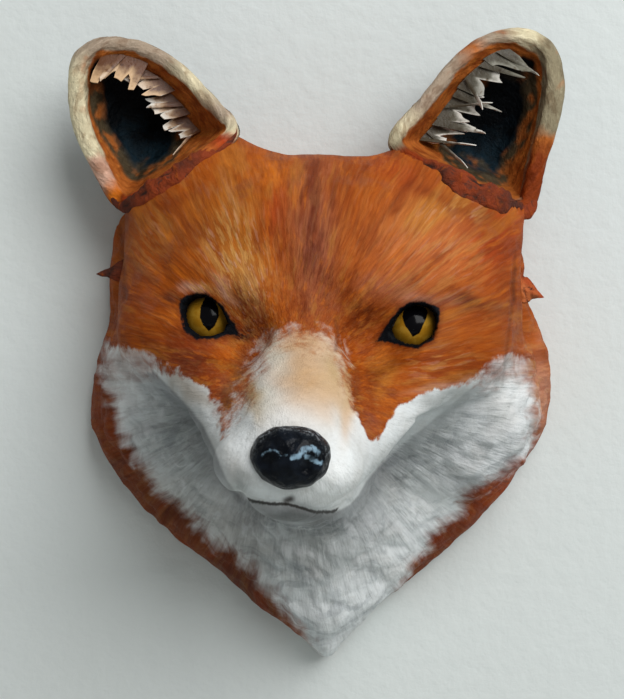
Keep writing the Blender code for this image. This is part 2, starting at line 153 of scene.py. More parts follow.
# Rims of the ears through the middle of their walls, from the outer foot over the tip
LEFT_EAR_RIM = (
    (-86, 40, 64.5), (-97, 37, 79.5), (-105, 36, 97), (-108, 36, 114), (-106, 36, 129),
    (-95, 37, 135), (-79, 38, 133), (-63, 40, 124), (-46, 43, 107), (-37.5, 47, 95),
    (-50, 55, 83), (-67, 56, 71),
)
RIGHT_EAR_RIM = (
    (90, 43, 62), (96.5, 41, 80), (102.5, 40, 99), (105.5, 38, 117), (101.5, 37, 133),
    (89.5, 37, 139), (75, 38, 136.5), (60, 40, 125), (45.5, 43, 107), (33, 47, 90),
    (48, 56, 77), (69, 58, 65.5),
)
EAR_WALL = 5.5

# Paint along the ears' rims, from the outer foot over the tip, as shares of their length
LEFT_EAR_TONES = (
    (0.00, "rust"), (0.035, "vivid_orange"), (0.06, "chalk_pink"), (0.10, "chalk_pink"),
    (0.12, "ear_cream"), (0.28, "ear_cream"), (0.34, "ear_beige"), (0.50, "ear_beige"),
    (0.58, "ear_cream"), (0.66, "ear_beige"), (0.71, "ear_cream"), (0.735, "red"), (0.79, "ear_orange"),
    (0.84, "rust"), (0.96, "red"), (1.0, "rust"),
)
RIGHT_EAR_TONES = (
    (0.00, "rust"), (0.10, "rust"), (0.13, "ear_orange"), (0.16, "ear_moss"), (0.32, "ear_moss"),
    (0.36, "ear_cream"), (0.42, "ear_beige"), (0.47, "ear_orange"), (0.51, "ear_beige"),
    (0.60, "ear_beige"), (0.66, "ear_cream"), (0.70, "ear_moss"), (0.73, "rust"), (0.80, "red"),
    (0.86, "ear_orange"), (0.92, "rust"), (1.0, "rust"),
)

# How far up the inside the orange band begins, along the rims in the same way
LEFT_EAR_BAND = (
    (0.00, 0.74), (0.10, 0.80), (0.20, 0.93), (0.34, 0.95), (0.40, 0.84), (0.52, 0.74), (0.62, 0.62),
    (0.70, 0.46), (0.76, 0.50), (0.84, 0.78), (1.0, 0.74),
)
RIGHT_EAR_BAND = (
    (0.00, 0.70), (0.06, 0.72), (0.14, 0.90), (0.32, 0.92), (0.38, 0.84), (0.50, 0.72), (0.64, 0.60),
    (0.73, 0.52), (0.80, 0.80), (0.92, 0.80), (1.0, 0.72),
)

# How far up the inside the rim's paint begins, how much lower on a broad rim, and where the back's begins
EAR_RIM_START = 0.985
EAR_RIM_SPREAD = 0.017
EAR_BACK_START = 1.16

# The bowl of each ear, and how much of the way up its lip counts for
EAR_LIP = 0.2
EAR_FLOOR_DEPTH = 15.0
EAR_SIDE_STEEPNESS = 2.9
EAR_TIP_STEEPNESS = 1.6

# Torn sheets in each ear: the stretch of the edge that each is glued along, as shares of its length, how far
# up the ear, the way it points, its length in millimetres, the share of it that isn't torn, its number of
# teeth, and how blunt they are
LEFT_SHEETS = (
    (0.360, 0.47, 0.93, (-0.42, 0.16, -0.90), 14.5, 0.55, 4, 2.6),
    (0.46, 0.55, 0.84, (-0.90, 0.16, -0.40), 12.5, 0.50, 3, 2.0),
    (0.54, 0.62, 0.76, (-0.93, 0.16, -0.30), 13.5, 0.52, 3, 2.2),
    (0.61, 0.69, 0.68, (-0.90, 0.16, -0.42), 12.0, 0.48, 3, 1.8),
)
RIGHT_SHEETS = (
    (0.385, 0.45, 0.90, (0.74, 0.14, -0.60), 16.0, 0.34, 2, 1.1),
    (0.45, 0.53, 0.86, (0.86, 0.14, -0.42), 16.5, 0.30, 2, 1.0),
    (0.52, 0.61, 0.82, (0.93, 0.14, -0.30), 17.0, 0.28, 3, 1.1),
    (0.60, 0.69, 0.78, (0.96, 0.14, -0.20), 18.5, 0.34, 3, 1.0),
)

# Loose strips: where on the edge, half width as a share, how far up, the way they point, length, tip share
# and bow
LEFT_STRIPS = (
    (0.41, 0.007, 0.93, (-0.62, 0.16, -0.76), 15.0, 0.6, 2.0),
    (0.50, 0.005, 0.84, (-0.95, 0.16, -0.10), 13.0, 0.4, 2.0),
    (0.585, 0.008, 0.76, (-0.97, 0.16, -0.10), 14.5, 0.8, 2.5),
    (0.67, 0.006, 0.66, (-0.62, 0.16, -0.78), 14.0, 0.1, 2.5),
)
RIGHT_STRIPS = (
    (0.41, 0.008, 0.90, (0.80, 0.14, -0.55), 19.0, 0.2, 2.0),
    (0.455, 0.009, 0.86, (0.92, 0.14, -0.36), 20.0, 0.15, 2.5),
    (0.50, 0.004, 0.86, (0.42, 0.14, -0.90), 15.0, 0.7, 4.0),
    (0.54, 0.010, 0.83, (0.92, 0.14, -0.45), 20.0, 0.2, 3.0),
    (0.58, 0.003, 0.82, (0.97, 0.14, 0.05), 18.0, 0.6, 4.0),
    (0.62, 0.010, 0.80, (0.96, 0.14, -0.26), 22.0, 0.2, 3.0),
    (0.65, 0.004, 0.78, (0.72, 0.14, -0.70), 22.0, 0.5, 4.0),
    (0.685, 0.009, 0.77, (0.97, 0.14, -0.14), 21.0, 0.15, 3.0),
)
SHEET_ROWS = 10
TOOTH_COLUMNS = 12

# The blind nail hole in the back: radius, depth and height
NAIL_HOLE = (4.0, 14.0, 45.0)

# Fineness of the pieces, and how far the seams lie outside the ears' edges
HEAD_SPOKES = 380
HEAD_FRONT_RINGS = 232
HEAD_BACK_RINGS = 16
NAIL_HOLE_RINGS = 5
EAR_SPOKES = 170
EAR_ROWS = 50
EAR_ROW_EASE = 1.5
EAR_LIP_ROWS = 13
NOSE_RINGS = 60
NOSE_SPOKES = 96
EYE_RINGS = 40
EYE_SPOKES = 64
LID_SPOKES = 12
LID_LOOPS = 110
SEAM_RINGS = 110
SEAM_OFFSET = 1.2
SEAM_STEPS = 240
INNER_CORNER_KNOT = 9
SEAM_SPOKES = 26

# The curved spine that the head is measured from, and how it eases towards the wall
SPINE_FRONT = (-9.0, 128.0, -42.0)
SPINE_BACK = (0.0, 0.0, -15.0)
SPINE_EASE = 2.2
RING_EASE = 1.35

# More rings are cast than are kept, and each ray walks out in steps until it leaves the form
CAST_SHARE = 1.4
MARCH_STEPS = 60
MARCH_SHARE = 0.55
SHORTEST_STEP = 0.25
HALVINGS = 9

# How often the cast surface, its normals and the run of the brush are averaged with their neighbours
NORMAL_ROUNDS = 8
SURFACE_ROUNDS = 5
RUN_SPREAD = 9

# The lid paint reaches no further back than this, and points behind count as this much further off
LID_REACH = 8.0
LID_MISS = 9.0

# How far the brushwork runs on over the flat back
BACK_RUN = 60.0

# Brushwork fans out from this spot of the picture, over a middle of this radius in millimetres
FAN_CENTRE = (290.0, 385.0)
FAN_MIDDLE = 25.0

# The white of the muzzle, cheeks and breast, clockwise in the picture from the left cheek
WHITE_OUTLINE = (
    (108, 345), (125, 352), (150, 362), (165, 371), (178, 374), (207, 389), (215, 407), (221, 436),
    (228, 420), (236, 408), (246, 395), (252, 380), (258, 365), (262, 345), (275, 338), (300, 335),
    (325, 338), (340, 350), (345, 370), (348, 390), (352, 405), (360, 420), (368, 441), (378, 440),
    (400, 405), (425, 392), (465, 385), (490, 372), (500, 360), (515, 358), (528, 385), (536, 405),
    (533, 440), (526, 456), (511, 469), (492, 478), (466, 496), (456, 514), (432, 536), (424, 556),
    (412, 558), (404, 578), (394, 604), (335, 670), (322, 672), (300, 630), (285, 612), (272, 591),
    (258, 573), (241, 559), (220, 543), (201, 528), (182, 511), (166, 496), (150, 474), (136, 458),
    (122, 430), (110, 395), (103, 372),
)

# Grooves pressed into the paper: points across and down the picture, half width in pixels, and depth
MOUTH_LINE = (
    (236, 490), (241, 496), (252, 501), (270, 504), (287, 504), (299, 507), (314, 512), (332, 512),
    (341, 508), (348, 502),
)
MOUTH = (MOUTH_LINE, 3.2, 1.6)
MOUTH_TAPER = 6.0
MOUTH_DEPTH = 92.0
PHILTRUM = (((286, 501), (291, 499)), 3.6, 1.5)
LEFT_SEAM = (((121, 230), (123, 262), (125, 300)), 2.0, 0.6)
RIGHT_SEAM = (((515, 255), (514, 285), (513, 300), (508, 340), (502, 385)), 1.6, 0.5)
RIGHT_SLIT = (((515, 268), (513, 285), (514, 300)), 2.2, 1.0)
NOSE_CREASE = (((335, 320), (338, 335), (336, 350)), 2.0, 0.6)
GROOVES = (MOUTH, PHILTRUM, LEFT_SEAM, RIGHT_SEAM, RIGHT_SLIT, NOSE_CREASE)
# The grooves that are darkened with dark paint and painted shade, more the deeper they are
PAINTED_GROOVES = (PHILTRUM, LEFT_SEAM, RIGHT_SEAM, RIGHT_SLIT, NOSE_CREASE)

# Soft spots of coat paint: pigment, middle across and down, half width and height, slant in degrees, strength
COAT_SPOTS = (
    ("rust", 185, 352, 40, 30, 20, 0.85),
    ("rust", 212, 402, 22, 36, -25, 0.8),
    ("rust", 130, 310, 20, 60, 0, 0.45),
    ("salmon", 430, 245, 58, 50, 0, 0.65),
    ("ochre", 448, 206, 50, 16, -20, 0.6),
    ("ochre", 238, 250, 34, 60, -12, 0.5),
    ("ochre", 180, 225, 36, 30, 20, 0.30),
    ("red", 496, 238, 26, 36, 0, 0.95),
    ("red", 276, 215, 14, 34, 0, 0.65),
    ("red", 398, 172, 28, 14, 25, 0.55),
    ("rust", 505, 300, 22, 60, 0, 0.6),
    ("vivid_orange", 272, 172, 20, 16, 0, 0.8),
    ("mauve", 314, 235, 24, 95, 0, 0.6),
    ("mauve", 250, 300, 14, 30, -20, 0.5),
    ("mauve", 390, 290, 34, 16, 15, 0.5),
    ("umber", 364, 318, 18, 22, 0, 0.5),
    ("umber", 250, 332, 15, 13, 30, 0.45),
    ("dark_brown", 240, 335, 10, 7, 30, 1.0),
    ("umber", 168, 297, 15, 6, -5, 0.9),
    ("umber", 470, 304, 30, 9, 8, 0.75),
    ("vivid_orange", 172, 318, 11, 14, 0, 0.6),
    ("vivid_orange", 452, 342, 16, 18, 0, 0.55),
    ("rust", 450, 372, 40, 12, -8, 0.5),
    ("vivid_orange", 238, 356, 14, 18, 0, 0.4),
    ("chalk_pink", 196, 290, 13, 5, 10, 0.6),
    ("chalk_pink", 428, 299, 20, 5, 10, 0.5),
    ("chalk_pink", 446, 385, 30, 4, -12, 0.6),
    ("ochre", 384, 375, 12, 24, 10, 0.55),
    ("umber", 354, 395, 8, 26, 0, 0.55),
    ("umber", 234, 380, 6, 32, 20, 0.45),
    ("rust", 365, 420, 12, 22, 0, 0.5),
    ("dark_brown", 150, 492, 90, 30, 47, 0.80),
    ("dark_brown", 245, 590, 80, 34, 44, 0.95),
    ("rust", 460, 530, 100, 40, -45, 0.9),
    ("dark_brown", 425, 560, 60, 34, -45, 0.45),
    ("salmon", 541, 372, 12, 45, 0, 0.5),
    ("red", 505, 475, 34, 20, -45, 0.5),
    ("rust", 112, 425, 22, 44, -20, 0.6),
    ("rust", 190, 355, 24, 24, 0, 0.8),
    ("rust", 446, 352, 34, 24, 0, 0.6),
    ("mauve", 245, 372, 9, 28, 20, 0.5),
    ("ochre", 232, 392, 8, 26, 15, 0.45),
    ("rust", 100, 380, 18, 70, 0, 0.75),
    ("rust", 190, 356, 22, 22, 0, 0.6),
    ("umber", 192, 360, 14, 12, 0, 0.45),
    ("straw", 240, 280, 12, 24, -12, 0.5),
    ("chalk_pink", 224, 290, 18, 4, 48, 0.55),
    ("rust", 488, 232, 18, 22, 0, 0.45),
    ("rust", 462, 206, 66, 10, 24, 0.7),
    ("rust", 165, 205, 50, 9, -28, 0.45),
    ("umber", 228, 400, 6, 14, -25, 0.6),
    ("rust", 372, 385, 8, 22, 0, 0.6),
    ("rust", 352, 300, 14, 24, 0, 0.5),
    ("chalk_pink", 541, 395, 9, 45, 0, 0.45),
    ("black", 240, 335, 8, 6, 30, 0.75),
    ("umber", 236, 386, 7, 22, 20, 0.45),
    ("rust", 183, 240, 34, 28, 0, 0.4),
    ("rust", 222, 228, 14, 16, 0, 0.3),
    ("rust", 440, 370, 20, 12, 0, 0.4),
)

# Soft spots of breast and muzzle paint, given in the same way; the shade grey spots are partly grey paint and
# partly painted shade below the cheeks and beside the muzzle
WHITE_SPOTS = (
    # The highlight white spots are painted highlights, where the white should look more brightly lit
    ("highlight_white", 334, 482, 26, 22, 0, 1.0),
    ("highlight_white", 514, 388, 24, 46, 0, 0.8),
    ("highlight_white", 118, 384, 18, 36, 0, 0.8),
    ("highlight_white", 432, 492, 22, 26, 30, 0.8),
    ("highlight_white", 222, 505, 14, 26, -30, 0.7),
    ("tan", 308, 374, 42, 44, 0, 1.0),
    ("tan", 300, 342, 40, 14, 0, 0.9),
    ("warm_white", 274, 352, 12, 16, -10, 0.8),
    ("warm_white", 258, 395, 16, 20, -10, 0.7),
    ("ochre_cream", 334, 372, 12, 28, 0, 0.8),
    ("ochre_cream", 250, 392, 9, 26, -20, 0.9),
    ("ochre_cream", 350, 384, 9, 34, 12, 0.95),
    ("tan", 330, 400, 16, 18, 10, 0.6),
    ("tan", 350, 415, 8, 28, 15, 0.7),
    ("warm_grey", 235, 470, 12, 22, -20, 0.4),
    ("shade_grey", 243, 478, 9, 18, -20, 0.8),
    ("chin_grey", 298, 517, 54, 11, 5, 0.9),
    ("warm_grey", 200, 392, 30, 10, 35, 0.5),
    ("shade_grey", 190, 430, 22, 50, -25, 0.7),
    ("shade_grey", 436, 432, 46, 20, -38, 0.45),
    ("shade_grey", 385, 480, 30, 40, 20, 0.5),
    ("warm_grey", 235, 530, 44, 24, 40, 0.45),
    ("shade_grey", 175, 455, 34, 60, -35, 0.30),
    ("warm_grey", 187, 388, 30, 9, 38, 0.8),
    ("shade_grey", 446, 396, 34, 10, -14, 0.9),
    ("warm_grey", 180, 505, 34, 20, 47, 0.4),
    ("shade_grey", 320, 556, 60, 30, 0, 0.7),
    ("shade_grey", 440, 455, 40, 30, -30, 0.25),
    ("shade_grey", 322, 635, 24, 22, 0, 0.2),
    ("shade_grey", 240, 585, 40, 26, 42, 0.4),
)

# The lower edge of the cheeks, muzzle and mouth, from left to right in the picture, closed above the eyes
JAW_EDGE = (
    (155, 372), (163, 380), (184, 401), (193, 411), (204, 426), (215, 449), (221, 466), (227, 479),
    (234, 489), (241, 496), (252, 501), (270, 504), (287, 504), (299, 507), (314, 512), (332, 512),
    (341, 509), (350, 504), (358, 495), (366, 481), (378, 467), (395, 450), (420, 430), (450, 405),
    (480, 380), (480, 300), (155, 300),
)

# How far the painted shade spreads: below that edge in pixels, and from the face on to the ruff in
# millimetres
JAW_SHADE_REACH = 30.0
SHADE_REACH = 9.0

# How dark it is at places across the picture
JAW_SHADE_PLACES = (190.0, 240.0, 380.0, 430.0)
JAW_SHADE_STRENGTHS = (0.72, 0.55, 0.62, 0.35)
JAW_SHADE_TOP = 372.0

# The part hidden behind the muzzle and cheeks is white: its middle in the picture, half its width and height,
# and how far out from the wall it ends
HIDDEN_WHITE = (290.0, 430.0, 118.0, 40.0, 100.0)

# So are the undersides of the cheeks that lie further out and further down the picture than this
UNDERSIDE_DEPTH = 28.0
UNDERSIDE_DOWN = 360.0

# Millimetres to a pixel at the white outline, how far inside it paint is solid, and what counts as far off
OUTLINE_SCALE = 0.42
WELL_INSIDE = 6.0
FAR = 20.0

# Where the white melts softly into the coat: the bridge and the outer cheeks
SOFT_EDGES = (
    (302, 352, 66, 46, 0, 1.0),
    (246, 385, 26, 50, 20, 1.0),
    (142, 362, 36, 20, 10, 0.6),
    (492, 374, 34, 16, -15, 0.5),
)

# How much light and dark brushwork the coat shows, in the same way
LIGHT_BRUSHWORK = (
    (236, 262, 32, 66, -12, 0.85),
    (452, 212, 46, 22, -20, 0.55),
    (198, 290, 20, 10, 0, 0.8),
    (440, 362, 40, 20, -10, 0.35),
    (150, 240, 24, 40, 20, 0.3),
    (440, 260, 56, 46, 0, 0.35),
    (530, 380, 20, 50, 0, 0.4),
)
DARK_BRUSHWORK = (
    (314, 230, 34, 100, 0, 0.75),
    (366, 300, 30, 60, 0, 0.6),
    (250, 320, 30, 40, 0, 0.5),
    (480, 300, 40, 30, 0, 0.6),
    (150, 480, 60, 120, 40, 0.8),
    (500, 480, 50, 60, -40, 0.7),
)

# Where the white paint is clean, with fewer grey smears and weaker painted shade, in the same way
CLEAN_WHITE = (
    (512, 392, 34, 52, 0, 0.75),
    (120, 380, 26, 44, 0, 0.75),
    (436, 492, 26, 26, 0, 0.5),
    (222, 498, 14, 20, -30, 0.6),
)

# Layers of brush hairs over the head: how many lie across the fan and along it, and where the noise starts
BRUSH_LAYERS = (
    ("sweep", 11.0, 2.4, 13.0),
    ("broad", 17.0, 3.2, 5.0),
    ("veil", 25.0, 4.0, 21.0),
    ("glow", 30.0, 5.0, 27.0),
    ("fine", 44.0, 6.0, 0.0),
    ("wisps", 85.0, 9.0, 9.0),
)


def pigment(name, description, default):
    """A colour that a user can change."""
    return FloatVectorProperty(
        name=name, description=description, default=default, size=3, min=0.0, max=1.0, subtype="COLOR"
    )


def length(name, description, default):
    """A size in metres that a user can change."""
    return FloatProperty(
        name=name, description=description, default=default, min=0.0, unit="LENGTH", precision=4
    )


class FoxPigments(bpy.types.PropertyGroup):
    """The paints, from the coat to the eyes."""

    orange: pigment("Orange", "Body colour of the coat", (0.350, 0.074, 0.0065))
    rust: pigment("Rust", "Deep red brown of the cheeks", (0.20, 0.034, 0.006))
    salmon: pigment("Salmon", "Pale orange of the forehead", (0.54, 0.16, 0.050))
    straw: pigment("Straw", "Pale yellow strokes of the forehead", (0.56, 0.29, 0.085))
    ochre: pigment("Ochre", "Yellow brown strokes", (0.46, 0.18, 0.028))
    red: pigment("Red", "Brightest red of the coat", (0.38, 0.050, 0.010))
    seam_red: pigment("Seam Red", "Red brown of the folded seams", (0.25, 0.042, 0.011))
    vivid_orange: pigment("Vivid Orange", "Purest orange of the coat", (0.60, 0.155, 0.012))
    mauve: pigment("Mauve", "Grey purple between the eyes", (0.24, 0.085, 0.055))
    umber: pigment("Umber", "Dark brown at the eyes", (0.08, 0.020, 0.011))
    dark_brown: pigment("Dark Brown", "Bare underpaint along the ruff", (0.10, 0.030, 0.018))
    chalk_pink: pigment("Chalk Pink", "Pale pink dry strokes", (0.60, 0.36, 0.26))
    white: pigment("White", "Muzzle, cheeks and breast", (0.75, 0.78, 0.79))
    # Highlight White is a painted highlight: whiter paint where the white should look more brightly lit, on
    # the muzzle's lower side, the outer ruff and beside the muzzle
    highlight_white: pigment("Bright White", "Highlights of the white paint", (0.92, 0.94, 0.94))
    warm_white: pigment("Warm White", "White with a little yellow", (0.68, 0.65, 0.55))
    tan: pigment("Tan", "Bridge of the muzzle", (0.62, 0.40, 0.22))
    ochre_cream: pigment("Ochre Cream", "Edges of the bridge", (0.50, 0.34, 0.16))
    chin_grey: pigment("Chin Grey", "Under the mouth", (0.21, 0.215, 0.21))
    shade_grey: pigment("Shade Grey", "Grey of the breast", (0.36, 0.38, 0.375))
    warm_grey: pigment("Warm Grey", "Beige of the breast", (0.38, 0.34, 0.29))
    ear_cream: pigment("Ear Cream", "Lightest of the ears' rims", (0.72, 0.64, 0.43))
    ear_beige: pigment("Ear Beige", "Pink and grey of the ears' rims", (0.40, 0.31, 0.23))
    ear_moss: pigment("Ear Moss", "Grey green of the right ear's rim", (0.26, 0.22, 0.14))
    ear_orange: pigment("Ear Orange", "Band inside the ears' rims", (0.40, 0.115, 0.022))
    ear_black: pigment("Ear Black", "Deep inside the ears", (0.001, 0.002, 0.003))
    ear_navy: pigment("Ear Navy", "Blue black halfway down the ears", (0.006, 0.016, 0.024))
    ear_olive: pigment("Ear Olive", "Low inside the ears", (0.070, 0.050, 0.026))
    ear_back: pigment("Ear Back", "Backs of the ears", (0.07, 0.065, 0.06))
    paper: pigment("Paper", "Torn fringe of the left ear", (0.68, 0.45, 0.25))
    silver_paper: pigment("Silver Paper", "Torn fringe of the right ear", (0.19, 0.185, 0.145))
    root_brown: pigment("Root Brown", "Stain of the left fringe", (0.13, 0.048, 0.018))
    root_olive: pigment("Root Olive", "Stain of the right fringe", (0.055, 0.045, 0.026))
    amber: pigment("Amber", "Iris of the eyes", (0.36, 0.17, 0.010))
    light_amber: pigment("Light Amber", "Lighter clouds in the iris", (0.46, 0.25, 0.025))
    black: pigment("Black", "Nose and lids", (0.003, 0.004, 0.006))
    wall: pigment("Wall", "Plaster behind the head", (0.715, 0.765, 0.765))


class FoxSizes(bpy.types.PropertyGroup):
    """The sizes of the finer forms."""

    tuft_height: length("Tuft Height", "How far the ruff's tufts stand up", 0.0016)
    wrinkle_height: length("Wrinkle Height", "How far the paper's wrinkles stand up", 0.00045)
    left_seam: length("Left Seam", "Half the width of the crumpled band at the left ear", 0.0046)
    right_seam: length("Right Seam", "Half the width of the crumpled band at the right ear", 0.0056)
    lid_radius: length("Lid Radius", "Half the width of the black rim of each eye", 0.00105)
    rim_width: length("Rim Width", "Width of the ears' rims at their inner sides", 0.0060)
    left_rim: length("Left Rim", "Width of the left ear's outer rim", 0.0105)
    right_rim: length("Right Rim", "Width of the right ear's outer rim", 0.0145)
    paper_thickness: length("Paper Thickness", "Thickness of the torn strips", 0.0004)


class FoxStage(bpy.types.PropertyGroup):
    """The wall and the light."""

    lamp_power: FloatProperty(
        name="Lamp Power", description="Power of the large soft lamp", default=34.0, min=0.0, unit="POWER"
    )
    sky: FloatProperty(name="Sky", description="Strength of the light from all round", default=0.225, min=0.0)


# Modelled forms


def ellipsoid(p, centre, radii):
    """Signed distance, close to the surface, of points p to an ellipsoid."""
    radii = np.asarray(radii, float)
    q = p - np.asarray(centre, float)
    near = np.linalg.norm(q / radii, axis=-1)
    slope = np.linalg.norm(q / radii**2, axis=-1)
    return near * (near - 1.0) / np.maximum(slope, 1e-9)


def limb(p, start, start_radius, end, end_radius):
    """Signed distance of points p to a round bar that tapers from start to end."""
    a = np.asarray(start, float)
    along = np.asarray(end, float) - a
    share = np.clip((p - a) @ along / (along @ along), 0.0, 1.0)
    away = np.linalg.norm(p - a - share[..., None] * along, axis=-1)
    return away - (start_radius + (end_radius - start_radius) * share)


def melt(a, b, blend):
    """Two masses pressed together, with a fillet of about this size."""
    share = np.clip(0.5 + 0.5 * (b - a) / blend, 0.0, 1.0)
    return b + (a - b) * share - blend * share * (1.0 - share)


def hollow(a, b, blend):
    """Mass a with b pressed into it, with a soft edge."""
    return -melt(-a, b, blend)


def face_axes():
    """Rows: the face's own side, forward and up directions as (x, depth, z)."""
    turned = np.array([
        [math.cos(FACE_TURN), math.sin(FACE_TURN), 0.0],
        [-math.sin(FACE_TURN), math.cos(FACE_TURN), 0.0],
        [0.0, 0.0, 1.0],
    ])
    tipped = np.array([
        [math.cos(FACE_TIP), 0.0, -math.sin(FACE_TIP)],
        [0.0, 1.0, 0.0],
        [math.sin(FACE_TIP), 0.0, math.cos(FACE_TIP)],
    ])
    return tipped @ turned


def to_face(p):
    return (p - np.asarray(FACE_CENTRE)) @ face_axes().T


def from_face(q):
    return np.asarray(q, float) @ face_axes() + np.asarray(FACE_CENTRE)


def line_distance(x, y, points, closed=False):
    """Distance of the places x, y to a line through the points, below zero inside a closed one."""
    ends = np.asarray(points, float)
    starts = ends if closed else ends[:-1]
    stops = np.roll(ends, -1, axis=0) if closed else ends[1:]
    nearest = np.full(np.shape(x), np.inf)
    inside = np.zeros(np.shape(x), bool)
    for (ax, ay), (bx, by) in zip(starts, stops):
        dx, dy = bx - ax, by - ay
        share = np.clip(((x - ax) * dx + (y - ay) * dy) / (dx * dx + dy * dy), 0.0, 1.0)
        nearest = np.minimum(nearest, np.hypot(x - ax - share * dx, y - ay - share * dy))
        if closed and ay != by:
            inside ^= ((ay > y) != (by > y)) & (x < ax + (y - ay) * dx / dy)
    return np.where(inside, -nearest, nearest)


def face_form(p):
    """The skull, brows, cheeks and muzzle, with round lids over the eyes."""
    q = to_face(p)
    q = np.stack([np.abs(q[..., 0]), q[..., 1], q[..., 2]], axis=-1)
    form = melt(ellipsoid(q, *SKULL), ellipsoid(q, *TEMPLE), BROAD)
    form = melt(form, ellipsoid(q, *CHEEKBONE), BROAD)
    form = melt(form, ellipsoid(q, *CHEEK_RUFF), BROAD)
    form = melt(form, limb(q, *BROW), SOFT)
    muzzle = melt(limb(q, *MUZZLE), ellipsoid(q, *WHISKER_PAD), TIGHT)
    form = melt(form, muzzle, BROAD)
    form = melt(form, limb(q, *CHEEK_LEDGE), SOFT)
    form = melt(form, melt(limb(q, *JAW), ellipsoid(q, *CHIN), TIGHT), SOFT)
    form = hollow(form, ellipsoid(q, *INNER_EYE_HOLLOW), SOFT)
    away = np.linalg.norm(q - np.asarray(EYE_CENTRE), axis=-1)
    return melt(form, away - EYE_RADIUS - LID_THICKNESS, TIGHT)


def ruff_form(p):
    """The neck ruff: the outline at the wall, swelling forward towards the throat."""
    edge = line_distance(p[..., 0], p[..., 2], RUFF_OUTLINE, closed=True)
    swell = 1.0 - np.exp(np.minimum(edge, 0.0) / RUFF_SWELL_REACH)
    front = p[..., 1] - (RUFF_EDGE_DEPTH + RUFF_SWELL * swell)
    mane = -melt(-edge, -RUFF_FRONT_EASE * front, SOFT)
    return melt(mane, limb(p, *THROAT), BROAD)


def normalised(vectors):
    """Vectors at a length of one."""
    return vectors / np.maximum(np.linalg.norm(vectors, axis=-1, keepdims=True), 1e-9)


def read_between(wanted, stops, values):
    """Rows of values at the wanted places between stops."""
    columns = [np.interp(wanted, stops, values[:, column]) for column in range(values.shape[1])]
    return np.stack(columns, axis=-1)


def round_directions(tilt, spokes):
    """Directions (side, forward, up) in rings, each turned away from forward by its tilt."""
    tilt = np.asarray(tilt)[:, None]
    angle = np.linspace(0.0, 2 * math.pi, spokes, endpoint=False)[None, :]
    side, up = np.sin(tilt) * np.cos(angle), np.sin(tilt) * np.sin(angle)
    return np.stack([side, np.cos(tilt) + 0.0 * angle, up], axis=-1)


def run_along(rows):
    """How far each point of the rows lies along its spoke from the first row."""
    travelled = np.zeros(rows.shape[:2])
    travelled[1:] = np.cumsum(np.linalg.norm(np.diff(rows, axis=0), axis=-1), axis=0)
    return travelled


def smooth_loop(knots, count):
    """Points evenly spread along a smooth closed curve through the given ones."""
    knots = np.asarray(knots, float)[:, None]
    before, after, beyond = (np.roll(knots, shift, axis=0) for shift in (1, -1, -2))
    t = np.linspace(0.0, 1.0, count, endpoint=False)[None, :, None]
    curve = 0.5 * (
        2 * knots + (after - before) * t
        + (2 * before - 5 * knots + 4 * after - beyond) * t**2
        + (3 * knots - before - 3 * after + beyond) * t**3
    ).reshape(-1, 3)
    closed = np.vstack([curve, curve[:1]])
    along = np.concatenate([[0.0], np.cumsum(np.linalg.norm(np.diff(closed, axis=0), axis=1))])
    return read_between(np.linspace(0.0, along[-1], count, endpoint=False), along, closed)


def ear_shape(rim, count):
    """The ear's edge, the middle of its floor, and how steeply the bowl rises at each point of the edge."""
    edge = smooth_loop(rim, count)
    floor = edge.mean(axis=0)
    floor[1] = EAR_FLOOR_DEPTH
    outward = (edge - floor) * (1.0, 0.0, 1.0)
    to_tip = outward[np.argmax(edge[:, 2])]
    towards_tip = outward @ to_tip / np.linalg.norm(outward, axis=1) / np.linalg.norm(to_tip)
    lean = np.clip(towards_tip, 0.0, 1.0) ** 2
    return edge, floor, EAR_SIDE_STEEPNESS + (EAR_TIP_STEEPNESS - EAR_SIDE_STEEPNESS) * lean


def ear_bowl(rim, spokes, shares):
    """Rows of the ear's middle surface, at shares of the way from floor to rim, and their outward normals."""
    edge, floor, steepness = ear_shape(rim, spokes)
    share = np.asarray(shares)[:, None]
    rows = floor + (edge - floor)[None] * share[..., None]
    rows[..., 1] = floor[1] + (edge[:, 1] - floor[1])[None] * share ** steepness[None]
    along = np.gradient(rows, axis=0)
    around = np.roll(rows, -1, axis=1) - np.roll(rows, 1, axis=1)
    normals = normalised(np.cross(along, around))
    if normals[0, :, 1].mean() > 0:
        normals = -normals
    return rows, normals


def ear_floor_at(p, rim):
    """How far each point lies inside the ear's edge, and the depth of the ear's middle surface there."""
    edge, floor, steepness = ear_shape(rim, EAR_SPOKES)
    bearing = np.arctan2(edge[:, 2] - floor[2], edge[:, 0] - floor[0])
    order = np.argsort(bearing)
    here = np.arctan2(p[..., 2] - floor[2], p[..., 0] - floor[0])
    radius, rise, power = (
        np.interp(here, bearing[order], values[order], period=2 * math.pi)
        for values in (np.hypot(*(edge - floor)[:, [0, 2]].T), edge[:, 1] - floor[1], steepness)
    )
    away = np.hypot(p[..., 0] - floor[0], p[..., 2] - floor[2])
    surface = floor[1] + rise * np.clip(away / radius, 0.0, 1.0) ** power
    return radius - away, surface


def from_eye(p):
    """Outward and up from the middle of the nearer eye, and how far forward of it."""
    q = to_face(p)
    return np.abs(q[..., 0]) - EYE_CENTRE[0], q[..., 2] - EYE_CENTRE[2], q[..., 1] - EYE_CENTRE[1]


def head_form(p):
    return melt(face_form(p), ruff_form(p), SOFT)


def open_rooms(places):
    """Presses the surface in behind the openings of the eyes and on to the floors of the ears."""
    outward, up, forward = from_eye(places)
    inside = np.clip(-line_distance(outward, up, EYE_OPENING, closed=True) / LID_EDGE, 0.0, 1.0)
    sunk = inside * np.clip(forward, 0.0, None)
    places = places - sunk[..., None] * face_axes()[1]
    for rim in (LEFT_EAR_RIM, RIGHT_EAR_RIM):
        within, surface = ear_floor_at(places, rim)
        pressed = (within > 0.0) & (places[..., 1] > surface)
        places[..., 1] = np.where(pressed, surface, places[..., 1])
    return places


